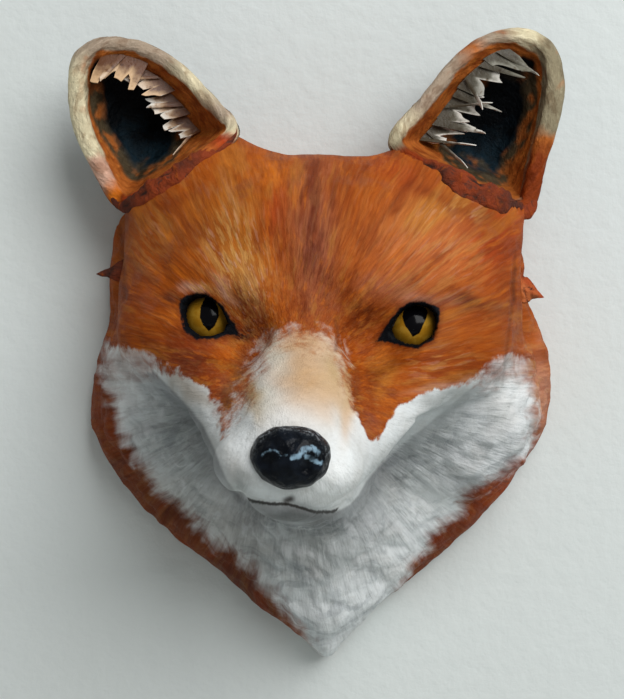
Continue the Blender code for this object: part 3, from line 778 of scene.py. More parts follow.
def cast_rays(form, origins, directions):
    """The point where each ray first leaves the form, which is solid at its origin."""
    shape = origins.shape
    origins, directions = origins.reshape(-1, 3), directions.reshape(-1, 3)
    reach = np.zeros(len(origins))
    stride = np.full(len(origins), SHORTEST_STEP)
    going = np.arange(len(origins))
    for _ in range(MARCH_STEPS):
        inside = -form(origins[going] + directions[going] * reach[going, None])
        going, inside = going[inside > 0.0], inside[inside > 0.0]
        stride[going] = np.maximum(MARCH_SHARE * inside, SHORTEST_STEP)
        reach[going] += stride[going]
    near, far = reach - stride, reach
    for _ in range(HALVINGS):
        middle = 0.5 * (near + far)
        outside = form(origins + directions * middle[:, None]) > 0.0
        far = np.where(outside, middle, far)
        near = np.where(outside, near, middle)
    return (origins + directions * far[:, None]).reshape(shape)


def evened(surface, rings):
    """Rings spread along each spoke of a cast surface, closer at the nose, and how far each has come."""
    travelled = run_along(surface)
    places = np.empty((rings, surface.shape[1], 3))
    shares = np.linspace(0.0, 1.0, rings) ** RING_EASE
    for j in range(surface.shape[1]):
        places[:, j] = read_between(shares * travelled[-1, j], travelled[:, j], surface[:, j])
    return places, shares[:, None] * travelled[-1]


def head_front():
    """Rings from the nose to the wall and how far along the surface each point lies from the nose."""
    t = np.linspace(0.0, 1.0, int(CAST_SHARE * HEAD_FRONT_RINGS))
    directions = round_directions(0.5 * math.pi * t, HEAD_SPOKES)
    front, back = np.asarray(SPINE_FRONT), np.asarray(SPINE_BACK)
    spine = back + (front - back) * ((1.0 - t[:, None]) ** SPINE_EASE)
    origins = np.broadcast_to(spine[:, None, :], directions.shape)
    places, travelled = evened(cast_rays(head_form, origins, directions), HEAD_FRONT_RINGS)
    places[-1, :, 1] = 0.0
    for _ in range(SURFACE_ROUNDS):
        places[1:-1] = 0.5 * places[1:-1] + 0.25 * (places[:-2] + places[2:])
        places = 0.5 * places + 0.25 * (np.roll(places, 1, axis=1) + np.roll(places, -1, axis=1))
    turns = range(-RUN_SPREAD, RUN_SPREAD + 1)
    return places, np.mean([np.roll(travelled, turn, axis=1) for turn in turns], axis=0)


def head_back(edge):
    """Flat rings from the wall edge in to the nail hole, then down the hole to its floor."""
    radius, depth, height = NAIL_HOLE
    angle = np.arctan2(edge[:, 2] - height, edge[:, 0])
    mouth = np.stack([radius * np.cos(angle), 0.0 * angle, height + radius * np.sin(angle)], axis=-1)
    flat = [edge + (mouth - edge) * share for share in np.linspace(0.0, 1.0, HEAD_BACK_RINGS + 1)[1:]]
    wall = [mouth + (0.0, share * depth, 0.0) for share in np.linspace(0.0, 1.0, NAIL_HOLE_RINGS + 1)[1:]]
    floor = mouth.mean(axis=0) + (0.0, depth, 0.0)
    return np.array([*flat, *wall, np.broadcast_to(floor, mouth.shape)])


# Fine relief


def noise_at(points, size, seed=0.0):
    """Smooth noise between about -1 and 1 whose lumps have this size in millimetres."""
    flat = np.asarray(points, float).reshape(-1, 3) / size + seed
    return np.array([noise.noise(Vector(point)) for point in flat]).reshape(np.shape(points)[:-1])


def grid_normals(places):
    """Outward normals of rings of points, each ring closed."""
    along = np.gradient(places, axis=0)
    around = np.roll(places, -1, axis=1) - np.roll(places, 1, axis=1)
    return normalised(np.cross(around, along))


def eased_normals(places, rounds):
    """Outward normals averaged with their neighbours' this many times, steady over sharp folds."""
    normals = grid_normals(places)
    for _ in range(rounds):
        normals = normals + np.roll(normals, 1, axis=1) + np.roll(normals, -1, axis=1)
        normals[1:-1] = normals[1:-1] + normals[:-2] + normals[2:]
        normals = normalised(normals)
    return normals


def seen(p):
    """Where points appear to the viewer, in pixels across and down the picture."""
    spread = VIEW_SCALE / (VIEW_DISTANCE - p[..., 1])
    across = 0.5 * PICTURE_WIDTH + (p[..., 0] - VIEW_SIDE) * spread
    return across, 0.5 * PICTURE_HEIGHT - p[..., 2] * spread


def brush_fan(places, travelled):
    """Coordinates of the brushwork: the direction it has fanned out in, and how far it has run."""
    spread = VIEW_SCALE / (VIEW_DISTANCE - places[..., 1])
    across, down = seen(places)
    dx = (across - FAN_CENTRE[0]) / spread
    dz = (FAN_CENTRE[1] - down) / spread
    away = np.sqrt(dx**2 + dz**2 + FAN_MIDDLE**2)
    return np.stack([dx / away, dz / away, travelled / 100.0], axis=-1)


def ruff_share(places):
    """How much each point belongs to the furry ruff rather than to the smooth face."""
    by_form = np.clip(0.5 + (face_form(places) - ruff_form(places)) / 12.0, 0.0, 1.0)
    across, down = seen(places)
    below = np.clip(line_distance(across, down, JAW_EDGE, closed=True) / 14.0, 0.0, 1.0)
    low = np.clip((down - 348.0) / 16.0, 0.0, 1.0) * np.clip((95.0 - places[..., 1]) / 15.0, 0.0, 1.0)
    return np.maximum(by_form, below * low)


def carve_head(places, travelled, sizes):
    """The front of the head with its tufts, wrinkles and grooves."""
    fan = brush_fan(places, travelled)
    furry = ruff_share(places)
    tufts = noise_at(fan * (15.0, 15.0, 4.5), 1.0) + 0.5 * noise_at(fan * (34.0, 34.0, 9.0), 1.0, 7.0)
    wrinkles = noise_at(places, 9.0, 3.0) + 0.6 * noise_at(places, 4.0, 5.0)
    swirl = np.stack([noise_at(places, 15.0, seed) for seed in (31.0, 37.0, 41.0)], axis=-1)
    swirled = places + 6.0 * swirl
    crumples = 2.2 * np.abs(noise_at(swirled, 15.0, 43.0)) + 0.9 * np.abs(noise_at(swirled, 6.5, 47.0)) - 0.8
    height = furry * (0.60 * tufts + crumples) * sizes.tuft_height + wrinkles * sizes.wrinkle_height
    height /= MM
    across, down = seen(places)
    for points, half_width, depth in GROOVES:
        height -= depth * np.exp(-(line_distance(across, down, points) / half_width) ** 2)
    height *= np.clip((places[..., 1] - 4.0) / 18.0, 0.0, 1.0)
    height[0] = height[0].mean()
    return places + eased_normals(places, NORMAL_ROUNDS) * height[..., None]


# Paint in listed spots


def spot_share(across, down, spot):
    """How strongly a soft slanted spot of paint covers each place."""
    middle_across, middle_down, half_width, half_height, slant, strength = spot
    turn = math.radians(slant)
    dx, dy = across - middle_across, down - middle_down
    along = (dx * math.cos(turn) + dy * math.sin(turn)) / half_width
    over = (dy * math.cos(turn) - dx * math.sin(turn)) / half_height
    return strength * np.exp(-np.hypot(along, over) ** 2.4)


def cover(colour, share, pigment_colour):
    """Paint laid over a colour."""
    return colour + share[..., None] * (np.asarray(pigment_colour) - colour)


def painted(places, ground, spots, pigments):
    """A ground colour with soft spots of other pigments, their edges wandering a little."""
    across, down = seen(places)
    across = across + 9.0 * noise_at(places, 12.0, 11.0)
    down = down + 9.0 * noise_at(places, 12.0, 17.0)
    colour = np.broadcast_to(np.asarray(ground), (*places.shape[:-1], 3)).copy()
    for name, *spot in spots:
        colour = cover(colour, spot_share(across, down, spot), getattr(pigments, name))
    return colour


def brushwork(places, spots, least):
    """How much brushwork each place shows."""
    across, down = seen(places)
    share = np.full(places.shape[:-1], least)
    for spot in spots:
        share = np.maximum(share, spot_share(across, down, spot))
    return share


def groove_shade(places):
    """How dark the pressed grooves are painted: dark paint and painted shade, darker the deeper they are."""
    across, down = seen(places)
    shade = np.zeros(places.shape[:-1])
    for points, half_width, depth in PAINTED_GROOVES:
        line = np.exp(-(line_distance(across, down, points) / half_width) ** 2)
        shade = np.maximum(shade, min(1.0, 0.6 * depth) * line)
    return shade


# Meshes


def deselect():
    bpy.ops.object.select_all(action="DESELECT")


def ball_of(name, places):
    """A ball with its rings, pole to pole, pressed to given places, and each vertex's ring and spoke."""
    rings, spokes = places.shape[0] - 1, places.shape[1]
    deselect()
    bpy.ops.mesh.primitive_uv_sphere_add(segments=spokes, ring_count=rings, radius=1.0)
    piece = bpy.context.object
    piece.name = piece.data.name = name
    co = np.array([vertex.co for vertex in piece.data.vertices])
    ring = np.rint(np.arccos(np.clip(co[:, 2], -1.0, 1.0)) / math.pi * rings).astype(int)
    spoke = np.rint(np.arctan2(co[:, 1], co[:, 0]) / (2 * math.pi) * spokes).astype(int) % spokes
    return press(piece, places[ring, spoke]), (ring, spoke)


def ring_of(name, places):
    """A torus pressed to the given loops of places, and each vertex's loop and place on it."""
    loops, spokes = places.shape[:2]
    deselect()
    bpy.ops.mesh.primitive_torus_add(
        major_segments=loops, minor_segments=spokes, major_radius=2.0, minor_radius=1.0
    )
    piece = bpy.context.object
    piece.name = piece.data.name = name
    co = np.array([vertex.co for vertex in piece.data.vertices])
    loop = np.rint(np.arctan2(co[:, 1], co[:, 0]) / (2 * math.pi) * loops).astype(int) % loops
    over = np.arctan2(co[:, 2], np.hypot(co[:, 0], co[:, 1]) - 2.0)
    spoke = np.rint(over / (2 * math.pi) * spokes).astype(int) % spokes
    return press(piece, places[loop, spoke]), (loop, spoke)


def press(piece, points):
    """Moves a mesh's vertices to points given in millimetres, and turns its faces outwards."""
    metres = np.stack([points[:, 0], -points[:, 1], points[:, 2]], axis=-1) * MM
    piece.data.vertices.foreach_set("co", metres.ravel())
    bpy.ops.object.mode_set(mode="EDIT")
    bpy.ops.mesh.select_all(action="SELECT")
    bpy.ops.mesh.normals_make_consistent(inside=False)
    bpy.ops.object.mode_set(mode="OBJECT")
    bpy.ops.object.shade_smooth()
    return piece


def note(piece, name, kind, values):
    """Stores a value, vector or colour at each vertex for the paint to read."""
    attribute = piece.data.attributes.new(name, kind, "POINT")
    if kind == "FLOAT_COLOR":
        values = np.concatenate([values, np.ones((len(values), 1))], axis=1)
    field = {"FLOAT": "value", "FLOAT_VECTOR": "vector", "FLOAT_COLOR": "color"}[kind]
    attribute.data.foreach_set(field, np.asarray(values, np.float32).ravel())


def finish_piece(piece, material, slot_name, *replaced):
    """Gives a piece its paint and its place in the model."""
    piece.data.materials.clear()
    piece.data.materials.append(material)
    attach(piece, "root")
    if replaced:
        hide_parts(*replaced)


# Paint nodes


class Bench:
    """A node tree with short calls for the nodes that the paints are mixed from."""

    def __init__(self, tree):
        self.tree = tree

    def node(self, kind, **settings):
        made = self.tree.nodes.new(kind)
        for name, value in settings.items():
            setattr(made, name, value)
        return made

    def join(self, value, socket):
        """Links a socket, or sets a number, vector or colour."""
        if isinstance(value, bpy.types.NodeSocket):
            self.tree.links.new(value, socket)
        else:
            socket.default_value = value

    def maths(self, operation, a, b=0.0):
        made = self.node("ShaderNodeMath", operation=operation)
        self.join(a, made.inputs[0])
        self.join(b, made.inputs[1])
        return made.outputs[0]

    def times(self, a, b):
        return self.maths("MULTIPLY", a, b)

    def plus(self, a, b):
        return self.maths("ADD", a, b)

    def minus(self, a, b):
        return self.maths("SUBTRACT", a, b)

    def stretch(self, vector, factors):
        made = self.node("ShaderNodeVectorMath", operation="MULTIPLY")
        self.join(vector, made.inputs[0])
        self.join(factors, made.inputs[1])
        return made.outputs[0]

    def add(self, a, b):
        made = self.node("ShaderNodeVectorMath", operation="ADD")
        self.join(a, made.inputs[0])
        self.join(b, made.inputs[1])
        return made.outputs[0]

    def ramp(self, value, low, high):
        """A smooth step from 0 at low to 1 at high, which may be the lower number."""
        made = self.node("ShaderNodeMapRange", interpolation_type="SMOOTHSTEP")
        self.join(value, made.inputs["Value"])
        self.join(low, made.inputs["From Min"])
        self.join(high, made.inputs["From Max"])
        return made.outputs["Result"]

    def past(self, value, low, high, strength):
        """A smooth step from 0 at low to this strength at high."""
        return self.times(self.ramp(value, low, high), strength)

    def mix(self, share, a, b, blend="MIX"):
        made = self.node("ShaderNodeMix", data_type="RGBA", blend_type=blend)
        self.join(share, made.inputs[0])
        self.join(a, made.inputs[6])
        self.join(b, made.inputs[7])
        return made.outputs[2]

    def tint(self, share, colour, tone):
        """A colour that is multiplied by a tone where the share is 1."""
        return self.mix(share, colour, self.mix(1.0, colour, (*tone, 1.0), "MULTIPLY"))

    def noise(self, vector, scale, detail=3.0, roughness=0.55, distortion=0.0):
        made = self.node("ShaderNodeTexNoise")
        self.join(vector, made.inputs["Vector"])
        self.join(scale, made.inputs["Scale"])
        made.inputs["Detail"].default_value = detail
        made.inputs["Roughness"].default_value = roughness
        made.inputs["Distortion"].default_value = distortion
        return made.outputs["Fac"]

    def noted(self, name, output="Color"):
        """A value, vector or colour that was stored at the vertices."""
        return self.node("ShaderNodeAttribute", attribute_name=name).outputs[output]

    def place(self):
        return self.node("ShaderNodeTexCoord").outputs["Object"]

    def group(self, group, **values):
        made = self.node("ShaderNodeGroup", node_tree=group)
        for name, value in values.items():
            self.join(value, made.inputs[name])
        return made.outputs


def new_group(name, inputs, outputs):
    """A shader node group with named sockets, and its bench, inputs and outputs."""
    group = bpy.data.node_groups.new(name, "ShaderNodeTree")
    for label, kind in inputs:
        group.interface.new_socket(label, in_out="INPUT", socket_type=kind)
    for label, kind in outputs:
        group.interface.new_socket(label, in_out="OUTPUT", socket_type=kind)
    bench = Bench(group)
    return group, bench, bench.node("NodeGroupInput").outputs, bench.node("NodeGroupOutput").inputs


def make_stroke_group():
    """Brush hairs: long noise along the fan that wanders a little."""
    group, bench, given, wanted = new_group(
        "brush_strokes",
        (
            ("Fan", "NodeSocketVector"), ("Across", "NodeSocketFloat"), ("Along", "NodeSocketFloat"),
            ("Layer", "NodeSocketFloat"),
        ),
        (("Strokes", "NodeSocketFloat"),),
    )
    wander = bench.node("ShaderNodeTexNoise")
    bench.join(bench.place(), wander.inputs["Vector"])
    wander.inputs["Scale"].default_value = 30.0
    wander.inputs["Detail"].default_value = 2.0
    shift = bench.stretch(wander.outputs["Color"], (0.06, 0.06, 0.14))
    scale = bench.node("ShaderNodeCombineXYZ")
    for axis, source in (("X", "Across"), ("Y", "Across"), ("Z", "Along")):
        bench.join(given[source], scale.inputs[axis])
    stretched = bench.stretch(bench.add(given["Fan"], shift), scale.outputs[0])
    layer = bench.node("ShaderNodeCombineXYZ")
    bench.join(given["Layer"], layer.inputs["X"])
    strokes = bench.noise(bench.add(stretched, layer.outputs[0]), 1.0, 3.0, 0.55)
    bench.join(strokes, wanted["Strokes"])
    return group


def make_grain_group():
    """The tooth of painted paper: fine pits and soft lumps."""
    group, bench, given, wanted = new_group(
        "paper_tooth",
        (("Lumps", "NodeSocketFloat"), ("Pits", "NodeSocketFloat")),
        (("Height", "NodeSocketFloat"),),
    )
    lumps = bench.noise(bench.place(), 210.0, 4.0, 0.6)
    pits = bench.noise(bench.place(), 900.0, 3.0, 0.7)
    height = bench.plus(bench.times(lumps, given["Lumps"]), bench.times(pits, given["Pits"]))
    bench.join(height, wanted["Height"])
    return group


def shared_group(name, maker):
    """A node group that is made the first time a paint needs it."""
    return bpy.data.node_groups.get(name) or maker()


def new_material(name):
    """An empty material with a principled shader, and its bench and shader inputs."""
    material = bpy.data.materials.new(name)
    material.use_nodes = True
    bench = Bench(material.node_tree)
    return material, bench, material.node_tree.nodes["Principled BSDF"].inputs


def add_bump(bench, height, distance, shader):
    bump = bench.node("ShaderNodeBump")
    bump.inputs["Distance"].default_value = distance
    bench.join(height, bump.inputs["Height"])
    bench.join(bump.outputs["Normal"], shader["Normal"])


def colour_of(value):
    return (*value, 1.0)


def brush_layers(bench, fan):
    """Brush hairs from broad to fine, and patches, smears and dabs of paint, by name."""
    strokes = shared_group("brush_strokes", make_stroke_group)
    layers = {
        name: bench.group(strokes, Fan=fan, Across=across, Along=along, Layer=layer)["Strokes"]
        for name, across, along, layer in BRUSH_LAYERS
    }
    layers["patches"] = bench.noise(bench.place(), 48.0, 4.0, 0.6)
    layers["smears"] = bench.noise(bench.place(), 58.0, 5.0, 0.62, 1.4)
    layers["dabs"] = bench.noise(bench.place(), 190.0, 5.0, 0.65)
    return layers


def lay_over(bench, colour, layers, coats):
    """Lays paint over a colour where each layer is past its first level, in full from its second."""
    for name, low, high, strength, paint in coats:
        colour = bench.mix(bench.past(layers[name], low, high, strength), colour, colour_of(paint))
    return colour


def glaze(bench, colour, layers, coats):
    """Multiplies a colour by a tone in the same way."""
    for name, low, high, strength, tone in coats:
        colour = bench.tint(bench.past(layers[name], low, high, strength), colour, tone)
    return colour


def mix_coat(bench, layers, furry, pigments):
    """The coat: its spots of colour under darker and lighter brushwork."""
    plain = bench.minus(1.0, bench.times(furry, 0.85))
    light = bench.noted("light", "Fac")
    coat = lay_over(bench, bench.noted("coat"), layers, (
        ("sweep", 0.54, 0.66, bench.times(plain, 0.35), pigments.ochre),
        ("sweep", 0.47, 0.35, 0.55, pigments.rust),
        ("veil", 0.55, 0.68, bench.times(plain, 0.35), pigments.vivid_orange),
        ("patches", 0.56, 0.70, bench.times(plain, 0.30), pigments.mauve),
    ))
    coat = glaze(bench, coat, layers, (
        ("broad", 0.52, 0.38, bench.noted("dark", "Fac"), (0.50, 0.40, 0.44)),
    ))
    coat = lay_over(bench, coat, layers, (
        ("glow", 0.47, 0.60, bench.times(light, 0.80), pigments.straw),
        ("fine", 0.55, 0.66, bench.times(light, 0.45), pigments.chalk_pink),
    ))
    return glaze(bench, coat, layers, (
        ("wisps", 0.50, 0.40, 0.30, (0.60, 0.50, 0.50)),
        ("wisps", 0.54, 0.64, 0.25, (1.35, 1.45, 1.40)),
    ))


def mix_breast(bench, layers, furry):
    """The white: its spots of colour, smeared grey and chalky over the crumpled ruff."""
    crevice = bench.noted("crevice", "Fac")
    breast = glaze(bench, bench.noted("breast"), layers, (
        ("broad", 0.50, 0.36, bench.times(crevice, 0.45), (0.62, 0.62, 0.63)),
        ("smears", 0.50, 0.36, bench.times(crevice, 0.6), (0.50, 0.52, 0.54)),
    ))
    breast = lay_over(bench, breast, layers, (
        ("smears", 0.54, 0.68, bench.times(crevice, 0.7), (0.80, 0.82, 0.83)),
        ("fine", 0.52, 0.68, bench.times(crevice, 0.35), (0.80, 0.82, 0.82)),
    ))
    return glaze(bench, breast, layers, (
        ("veil", 0.48, 0.36, bench.times(crevice, 0.25), (0.62, 0.61, 0.62)),
        ("patches", 0.50, 0.64, 0.3, (0.70, 0.66, 0.62)),
        ("wisps", 0.47, 0.37, bench.times(furry, 0.2), (0.6, 0.6, 0.6)),
        ("dabs", 0.50, 0.36, 0.35, (0.78, 0.77, 0.74)),
    ))


def white_share(bench, layers, furry):
    """How much the white covers the coat, with a ragged edge that is softer on the ruff."""
    tufts = bench.plus(bench.times(layers["broad"], 0.55), bench.times(layers["smears"], 0.45))
    ragged = bench.times(bench.minus(tufts, layers["dabs"]), furry)
    ragged = bench.plus(ragged, bench.minus(layers["dabs"], 0.5))
    edge = bench.plus(bench.noted("white_edge", "Fac"), bench.times(ragged, bench.noted("fray", "Fac")))
    soft = bench.plus(bench.times(furry, 3.2), 0.6)
    return bench.ramp(edge, bench.times(soft, -1.0), soft)


def make_fur_paint(name, pigments):
    """Coat paint and white paint brushed along the fan, with painted shade below the jaw, cheeks and mouth,
    and the mouth, grooves and lids drawn in.
    """
    material, bench, shader = new_material(name)
    tooth = bench.group(shared_group("paper_tooth", make_grain_group), Lumps=0.5, Pits=0.2)
    furry = bench.noted("furry", "Fac")
    layers = brush_layers(bench, bench.noted("fan", "Vector"))
    broad, fine, wisps = layers["broad"], layers["fine"], layers["wisps"]

    coat, breast = mix_coat(bench, layers, furry, pigments), mix_breast(bench, layers, furry)
    colour = bench.mix(white_share(bench, layers, furry), coat, breast)
    # Painted shade on the ruff behind the face and below the jaw, cheeks, mouth and chin
    colour = bench.tint(bench.noted("shade", "Fac"), colour, (0.22, 0.22, 0.24))
    # Dark paint and painted shade in the pressed grooves
    colour = bench.mix(bench.noted("groove", "Fac"), colour, (0.03, 0.018, 0.014, 1.0))
    mouth = bench.plus(bench.noted("mouth", "Fac"), bench.times(bench.minus(wisps, 0.5), 3.0))
    lips = bench.past(bench.maths("ABSOLUTE", mouth), 2.6, 0.6, bench.noted("mouth_end", "Fac"))
    colour = bench.mix(bench.times(lips, 0.9), colour, (0.018, 0.014, 0.011, 1.0))
    crust = bench.noise(bench.place(), 420.0, 3.0)
    lid = bench.plus(bench.noted("lid", "Fac"), bench.times(bench.minus(crust, 0.5), 2.4))
    colour = bench.tint(bench.past(lid, 2.6, 0.2, 0.5), colour, (0.35, 0.25, 0.25))
    colour = bench.mix(bench.ramp(lid, 0.5, -0.5), colour, colour_of(pigments.black))

    bench.join(colour, shader["Base Color"])
    bench.join(bench.plus(bench.times(broad, 0.3), 0.42), shader["Roughness"])
    shader["Specular IOR Level"].default_value = 0.06
    height = bench.plus(bench.times(fine, 0.6), tooth["Height"])
    height = bench.plus(height, bench.times(wisps, 0.25))
    add_bump(bench, bench.times(height, bench.plus(bench.times(furry, 0.55), 0.6)), 0.0011, shader)
    return material


def make_ear_paint(name):
    """Paint of the ears: rubbed strokes round the rim over the modelled colours."""
    material, bench, shader = new_material(name)
    tooth = bench.group(shared_group("paper_tooth", make_grain_group), Lumps=0.6, Pits=0.3)
    strokes = shared_group("brush_strokes", make_stroke_group)
    fan = bench.noted("fan", "Vector")
    fine = bench.group(strokes, Fan=fan, Across=9.0, Along=60.0, Layer=0.0)["Strokes"]
    broad = bench.group(strokes, Fan=fan, Across=5.0, Along=22.0, Layer=4.0)["Strokes"]
    coat = bench.noted("coat")
    coat = bench.tint(bench.ramp(broad, 0.5, 0.36), coat, (0.74, 0.68, 0.64))
    coat = bench.tint(bench.ramp(fine, 0.52, 0.68), coat, (1.25, 1.28, 1.32))
    shader["Specular IOR Level"].default_value = 0.06
    bench.join(coat, shader["Base Color"])
    bench.join(bench.plus(bench.times(broad, 0.3), 0.38), shader["Roughness"])
    height = bench.plus(bench.times(fine, 0.8), tooth["Height"])
    add_bump(bench, height, 0.0012, shader)
    return material


def make_seam_paint(name, pigments, deep, pale):
    """Paint in two tones over crumpled paper, with painted shade in its creases and a painted highlight of
    orange on its raised crumples.
    """
    material, bench, shader = new_material(name)
    tooth = bench.group(shared_group("paper_tooth", make_grain_group), Lumps=0.9, Pits=0.3)
    crumple = bench.noise(bench.place(), 160.0, 5.0, 0.6, 1.5)
    blotches = bench.noise(bench.place(), 55.0, 3.0)
    colour = bench.mix(bench.ramp(blotches, 0.4, 0.62), colour_of(deep), colour_of(pale))
    # Painted highlight: orange on the raised crumples
    colour = bench.mix(bench.times(bench.ramp(crumple, 0.56, 0.68), 0.5), colour, colour_of(pigments.orange))
    # Painted shade: dark brown in the low creases, and near black where the paper is creased or tucked
    # against the head
    colour = bench.mix(bench.ramp(crumple, 0.45, 0.33), colour, colour_of(pigments.dark_brown))
    colour = bench.mix(bench.noted("crease_shade", "Fac"), colour, (0.02, 0.012, 0.01, 1.0))
    bench.join(colour, shader["Base Color"])
    shader["Specular IOR Level"].default_value = 0.15
    bench.join(bench.plus(bench.times(crumple, 0.3), 0.60), shader["Roughness"])
    add_bump(bench, bench.plus(crumple, tooth["Height"]), 0.0016, shader)
    return material


def make_paper_paint(name, paper, root):
    """Torn paper, stained at its roots and bare at its tips."""
    material, bench, shader = new_material(name)
    tooth = bench.group(shared_group("paper_tooth", make_grain_group), Lumps=0.3, Pits=0.4)
    fibres = bench.noise(bench.place(), 330.0, 3.0)
    stain = bench.plus(bench.noted("reach", "Fac"), bench.times(bench.minus(fibres, 0.5), 0.5))
    colour = bench.mix(bench.ramp(stain, 0.30, 0.95), colour_of(root), colour_of(paper))
    bare = bench.times(bench.ramp(bench.noted("tone", "Fac"), 0.1, 0.7), bench.ramp(stain, 0.55, 1.0))
    colour = bench.mix(bare, colour, (0.78, 0.76, 0.70, 1.0))
    colour = bench.tint(bench.ramp(fibres, 0.42, 0.3), colour, (0.6, 0.5, 0.42))
    bench.join(colour, shader["Base Color"])
    bench.join(bench.plus(bench.times(fibres, 0.3), 0.3), shader["Roughness"])
    add_bump(bench, tooth["Height"], 0.0006, shader)
    return material


def make_eye_paint(name, pigments):
    """Amber glass with a dark almond pupil under a clear coat."""
    material, bench, shader = new_material(name)
    clouds = bench.noise(bench.place(), 260.0, 4.0, 0.6)
    soft = bench.minus(clouds, 0.5)
    away = bench.plus(bench.noted("rim", "Fac"), bench.times(soft, 0.3))
    amber, light_amber = colour_of(pigments.amber), colour_of(pigments.light_amber)
    colour = bench.mix(bench.ramp(clouds, 0.4, 0.65), amber, light_amber)
    colour = bench.mix(bench.ramp(away, 0.62, 1.0), colour, (0.12, 0.05, 0.006, 1.0))
    ragged = bench.plus(bench.noted("pupil", "Fac"), bench.times(soft, 1.4))
    colour = bench.mix(bench.ramp(ragged, 0.2, -0.2), colour, (0.002, 0.002, 0.003, 1.0))
    bench.join(colour, shader["Base Color"])
    bench.join(bench.plus(bench.times(clouds, 0.1), 0.12), shader["Roughness"])
    shader["Specular IOR Level"].default_value = 0.08
    shader["Coat Weight"].default_value = 0.08
    shader["Coat Roughness"].default_value = 0.06
    return material


def make_varnish(name, pigments, lumps, rub):
    """Glossy black over lumpy paper, rubbed grey on its raised places, with painted highlights of blue grey
    where its strokes are given.
    """
    material, bench, shader = new_material(name)
    bumps = bench.noise(bench.place(), 180.0, 3.0, 0.5)
    fine = bench.noise(bench.place(), 620.0, 4.0, 0.65)
    rubbed = bench.times(bench.ramp(fine, 0.50, 0.66), bench.noted("rub", "Fac"))
    colour = bench.mix(bench.ramp(bumps, 0.4, 0.7), colour_of(pigments.black), (0.008, 0.011, 0.017, 1.0))
    colour = bench.mix(rubbed, colour, rub)
    # Painted highlights: blue grey strokes standing in for reflections in the varnish
    painted_highlight = bench.plus(bench.noted("painted_highlight", "Fac"), bench.times(bench.minus(fine, 0.5), 9.0))
    painted_highlight_share = bench.times(bench.ramp(painted_highlight, 1.4, -1.6), bench.ramp(bumps, 0.30, 0.55))
    colour = bench.mix(painted_highlight_share, colour, (0.24, 0.37, 0.48, 1.0))
    bench.join(colour, shader["Base Color"])
    bench.join(bench.plus(bench.times(rubbed, 0.4), 0.16), shader["Roughness"])
    shader["Specular IOR Level"].default_value = 0.08
    shader["Coat Weight"].default_value = 0.03
    shader["Coat Roughness"].default_value = 0.2
    height = bench.plus(bumps, bench.times(fine, 0.2))
    add_bump(bench, height, lumps, shader)
    return material


def make_plaster(name, pigments):
    """A pale plaster wall, seen only from its front."""
    material, bench, shader = new_material(name)
    trowel = bench.noise(bench.place(), 130.0, 6.0, 0.55)
    tint = bench.noise(bench.place(), 3.0, 3.0)
    wall = colour_of(pigments.wall)
    colour = bench.tint(bench.ramp(tint, 0.3, 0.7), wall, (0.97, 0.965, 0.95))
    bench.join(colour, shader["Base Color"])
    shader["Roughness"].default_value = 0.85
    add_bump(bench, trowel, 0.0006, shader)
    facing = bench.node("ShaderNodeNewGeometry").outputs["Backfacing"]
    clear = bench.node("ShaderNodeBsdfTransparent").outputs[0]
    both = bench.node("ShaderNodeMixShader")
    bench.join(facing, both.inputs[0])
    bench.join(material.node_tree.nodes["Principled BSDF"].outputs[0], both.inputs[1])
    bench.join(clear, both.inputs[2])
    bench.join(both.outputs[0], material.node_tree.nodes["Material Output"].inputs["Surface"])
    return material


# Pieces


def ear_profile(rim, widths):
    """Rings of an ear from inside over its lip to the middle of its back, and how far up each is."""
    shares = 1.0 - (1.0 - np.linspace(0.0, 1.0, EAR_ROWS + 1)[1:]) ** EAR_ROW_EASE
    rows, normals = ear_bowl(rim, EAR_SPOKES, shares)
    swell = np.clip((shares[:, None] - 0.72) / 0.28, 0.0, 1.0) ** 2
    half = 0.5 * (EAR_WALL + (widths[None, :] - EAR_WALL) * swell)[..., None]
    upward = normalised(rows[-1] - rows[-2])
    back = 0.5 * EAR_WALL
    lip, over = [], np.linspace(0.0, 1.0, EAR_LIP_ROWS + 2)[1:-1]
    for angle in math.pi * over:
        inner_side = half[-1] * max(math.cos(angle), 0.0)
        outer_side = back * max(-math.cos(angle), 0.0)
        lip.append(rows[-1] + back * math.sin(angle) * upward + (outer_side - inner_side) * normals[-1])
    inner, outer = rows - half * normals, rows + back * normals
    rings = [*inner, *lip, *outer[::-1]]
    first = np.broadcast_to(rings[0].mean(axis=0), rings[0].shape)
    last = np.broadcast_to(rings[-1].mean(axis=0), rings[0].shape)
    reach = np.array([0.0, *shares, *(1.0 + EAR_LIP * over), *(2.0 + EAR_LIP - shares[::-1]), 2.0 + EAR_LIP])
    return np.array([first, *rings, last]), reach


def rim_widths(rim, width, broad_width, broad_side):
    """How wide the rim is at each spoke: broad on one side of the ear only."""
    edge, floor, _ = ear_shape(rim, EAR_SPOKES)
    sideways = (edge[:, 0] - floor[0]) / np.abs(edge[:, 0] - floor[0]).max() * broad_side
    return width + (broad_width - width) * np.clip(sideways, 0.0, 1.0) ** 1.5


def ear_streaks(places, travelled, length, width, seed):
    """Noise drawn out along the rim."""
    drawn_out = np.stack([places[..., 0] / length, travelled / width, places[..., 2] / length], axis=-1)
    return noise_at(drawn_out, 1.0, seed)


def ear_wrinkles(places, travelled):
    """Folds that run round the ear and crumples all over it, in millimetres."""
    folds = 1.0 - 2.0 * np.abs(ear_streaks(places, travelled, 24.0, 3.4, 2.0))
    creases = ear_streaks(places, travelled, 15.0, 1.5, 6.0)
    lumps = 0.30 * noise_at(places, 7.0, 9.0) + 0.12 * noise_at(places, 2.4, 4.0)
    return 0.50 * folds + 0.22 * creases + lumps


def tones_along(tones, along, pigments):
    """Paint that changes along a rim."""
    stops = [stop for stop, _ in tones]
    paints = np.array([getattr(pigments, name) for _, name in tones])
    return read_between(along, stops, paints)


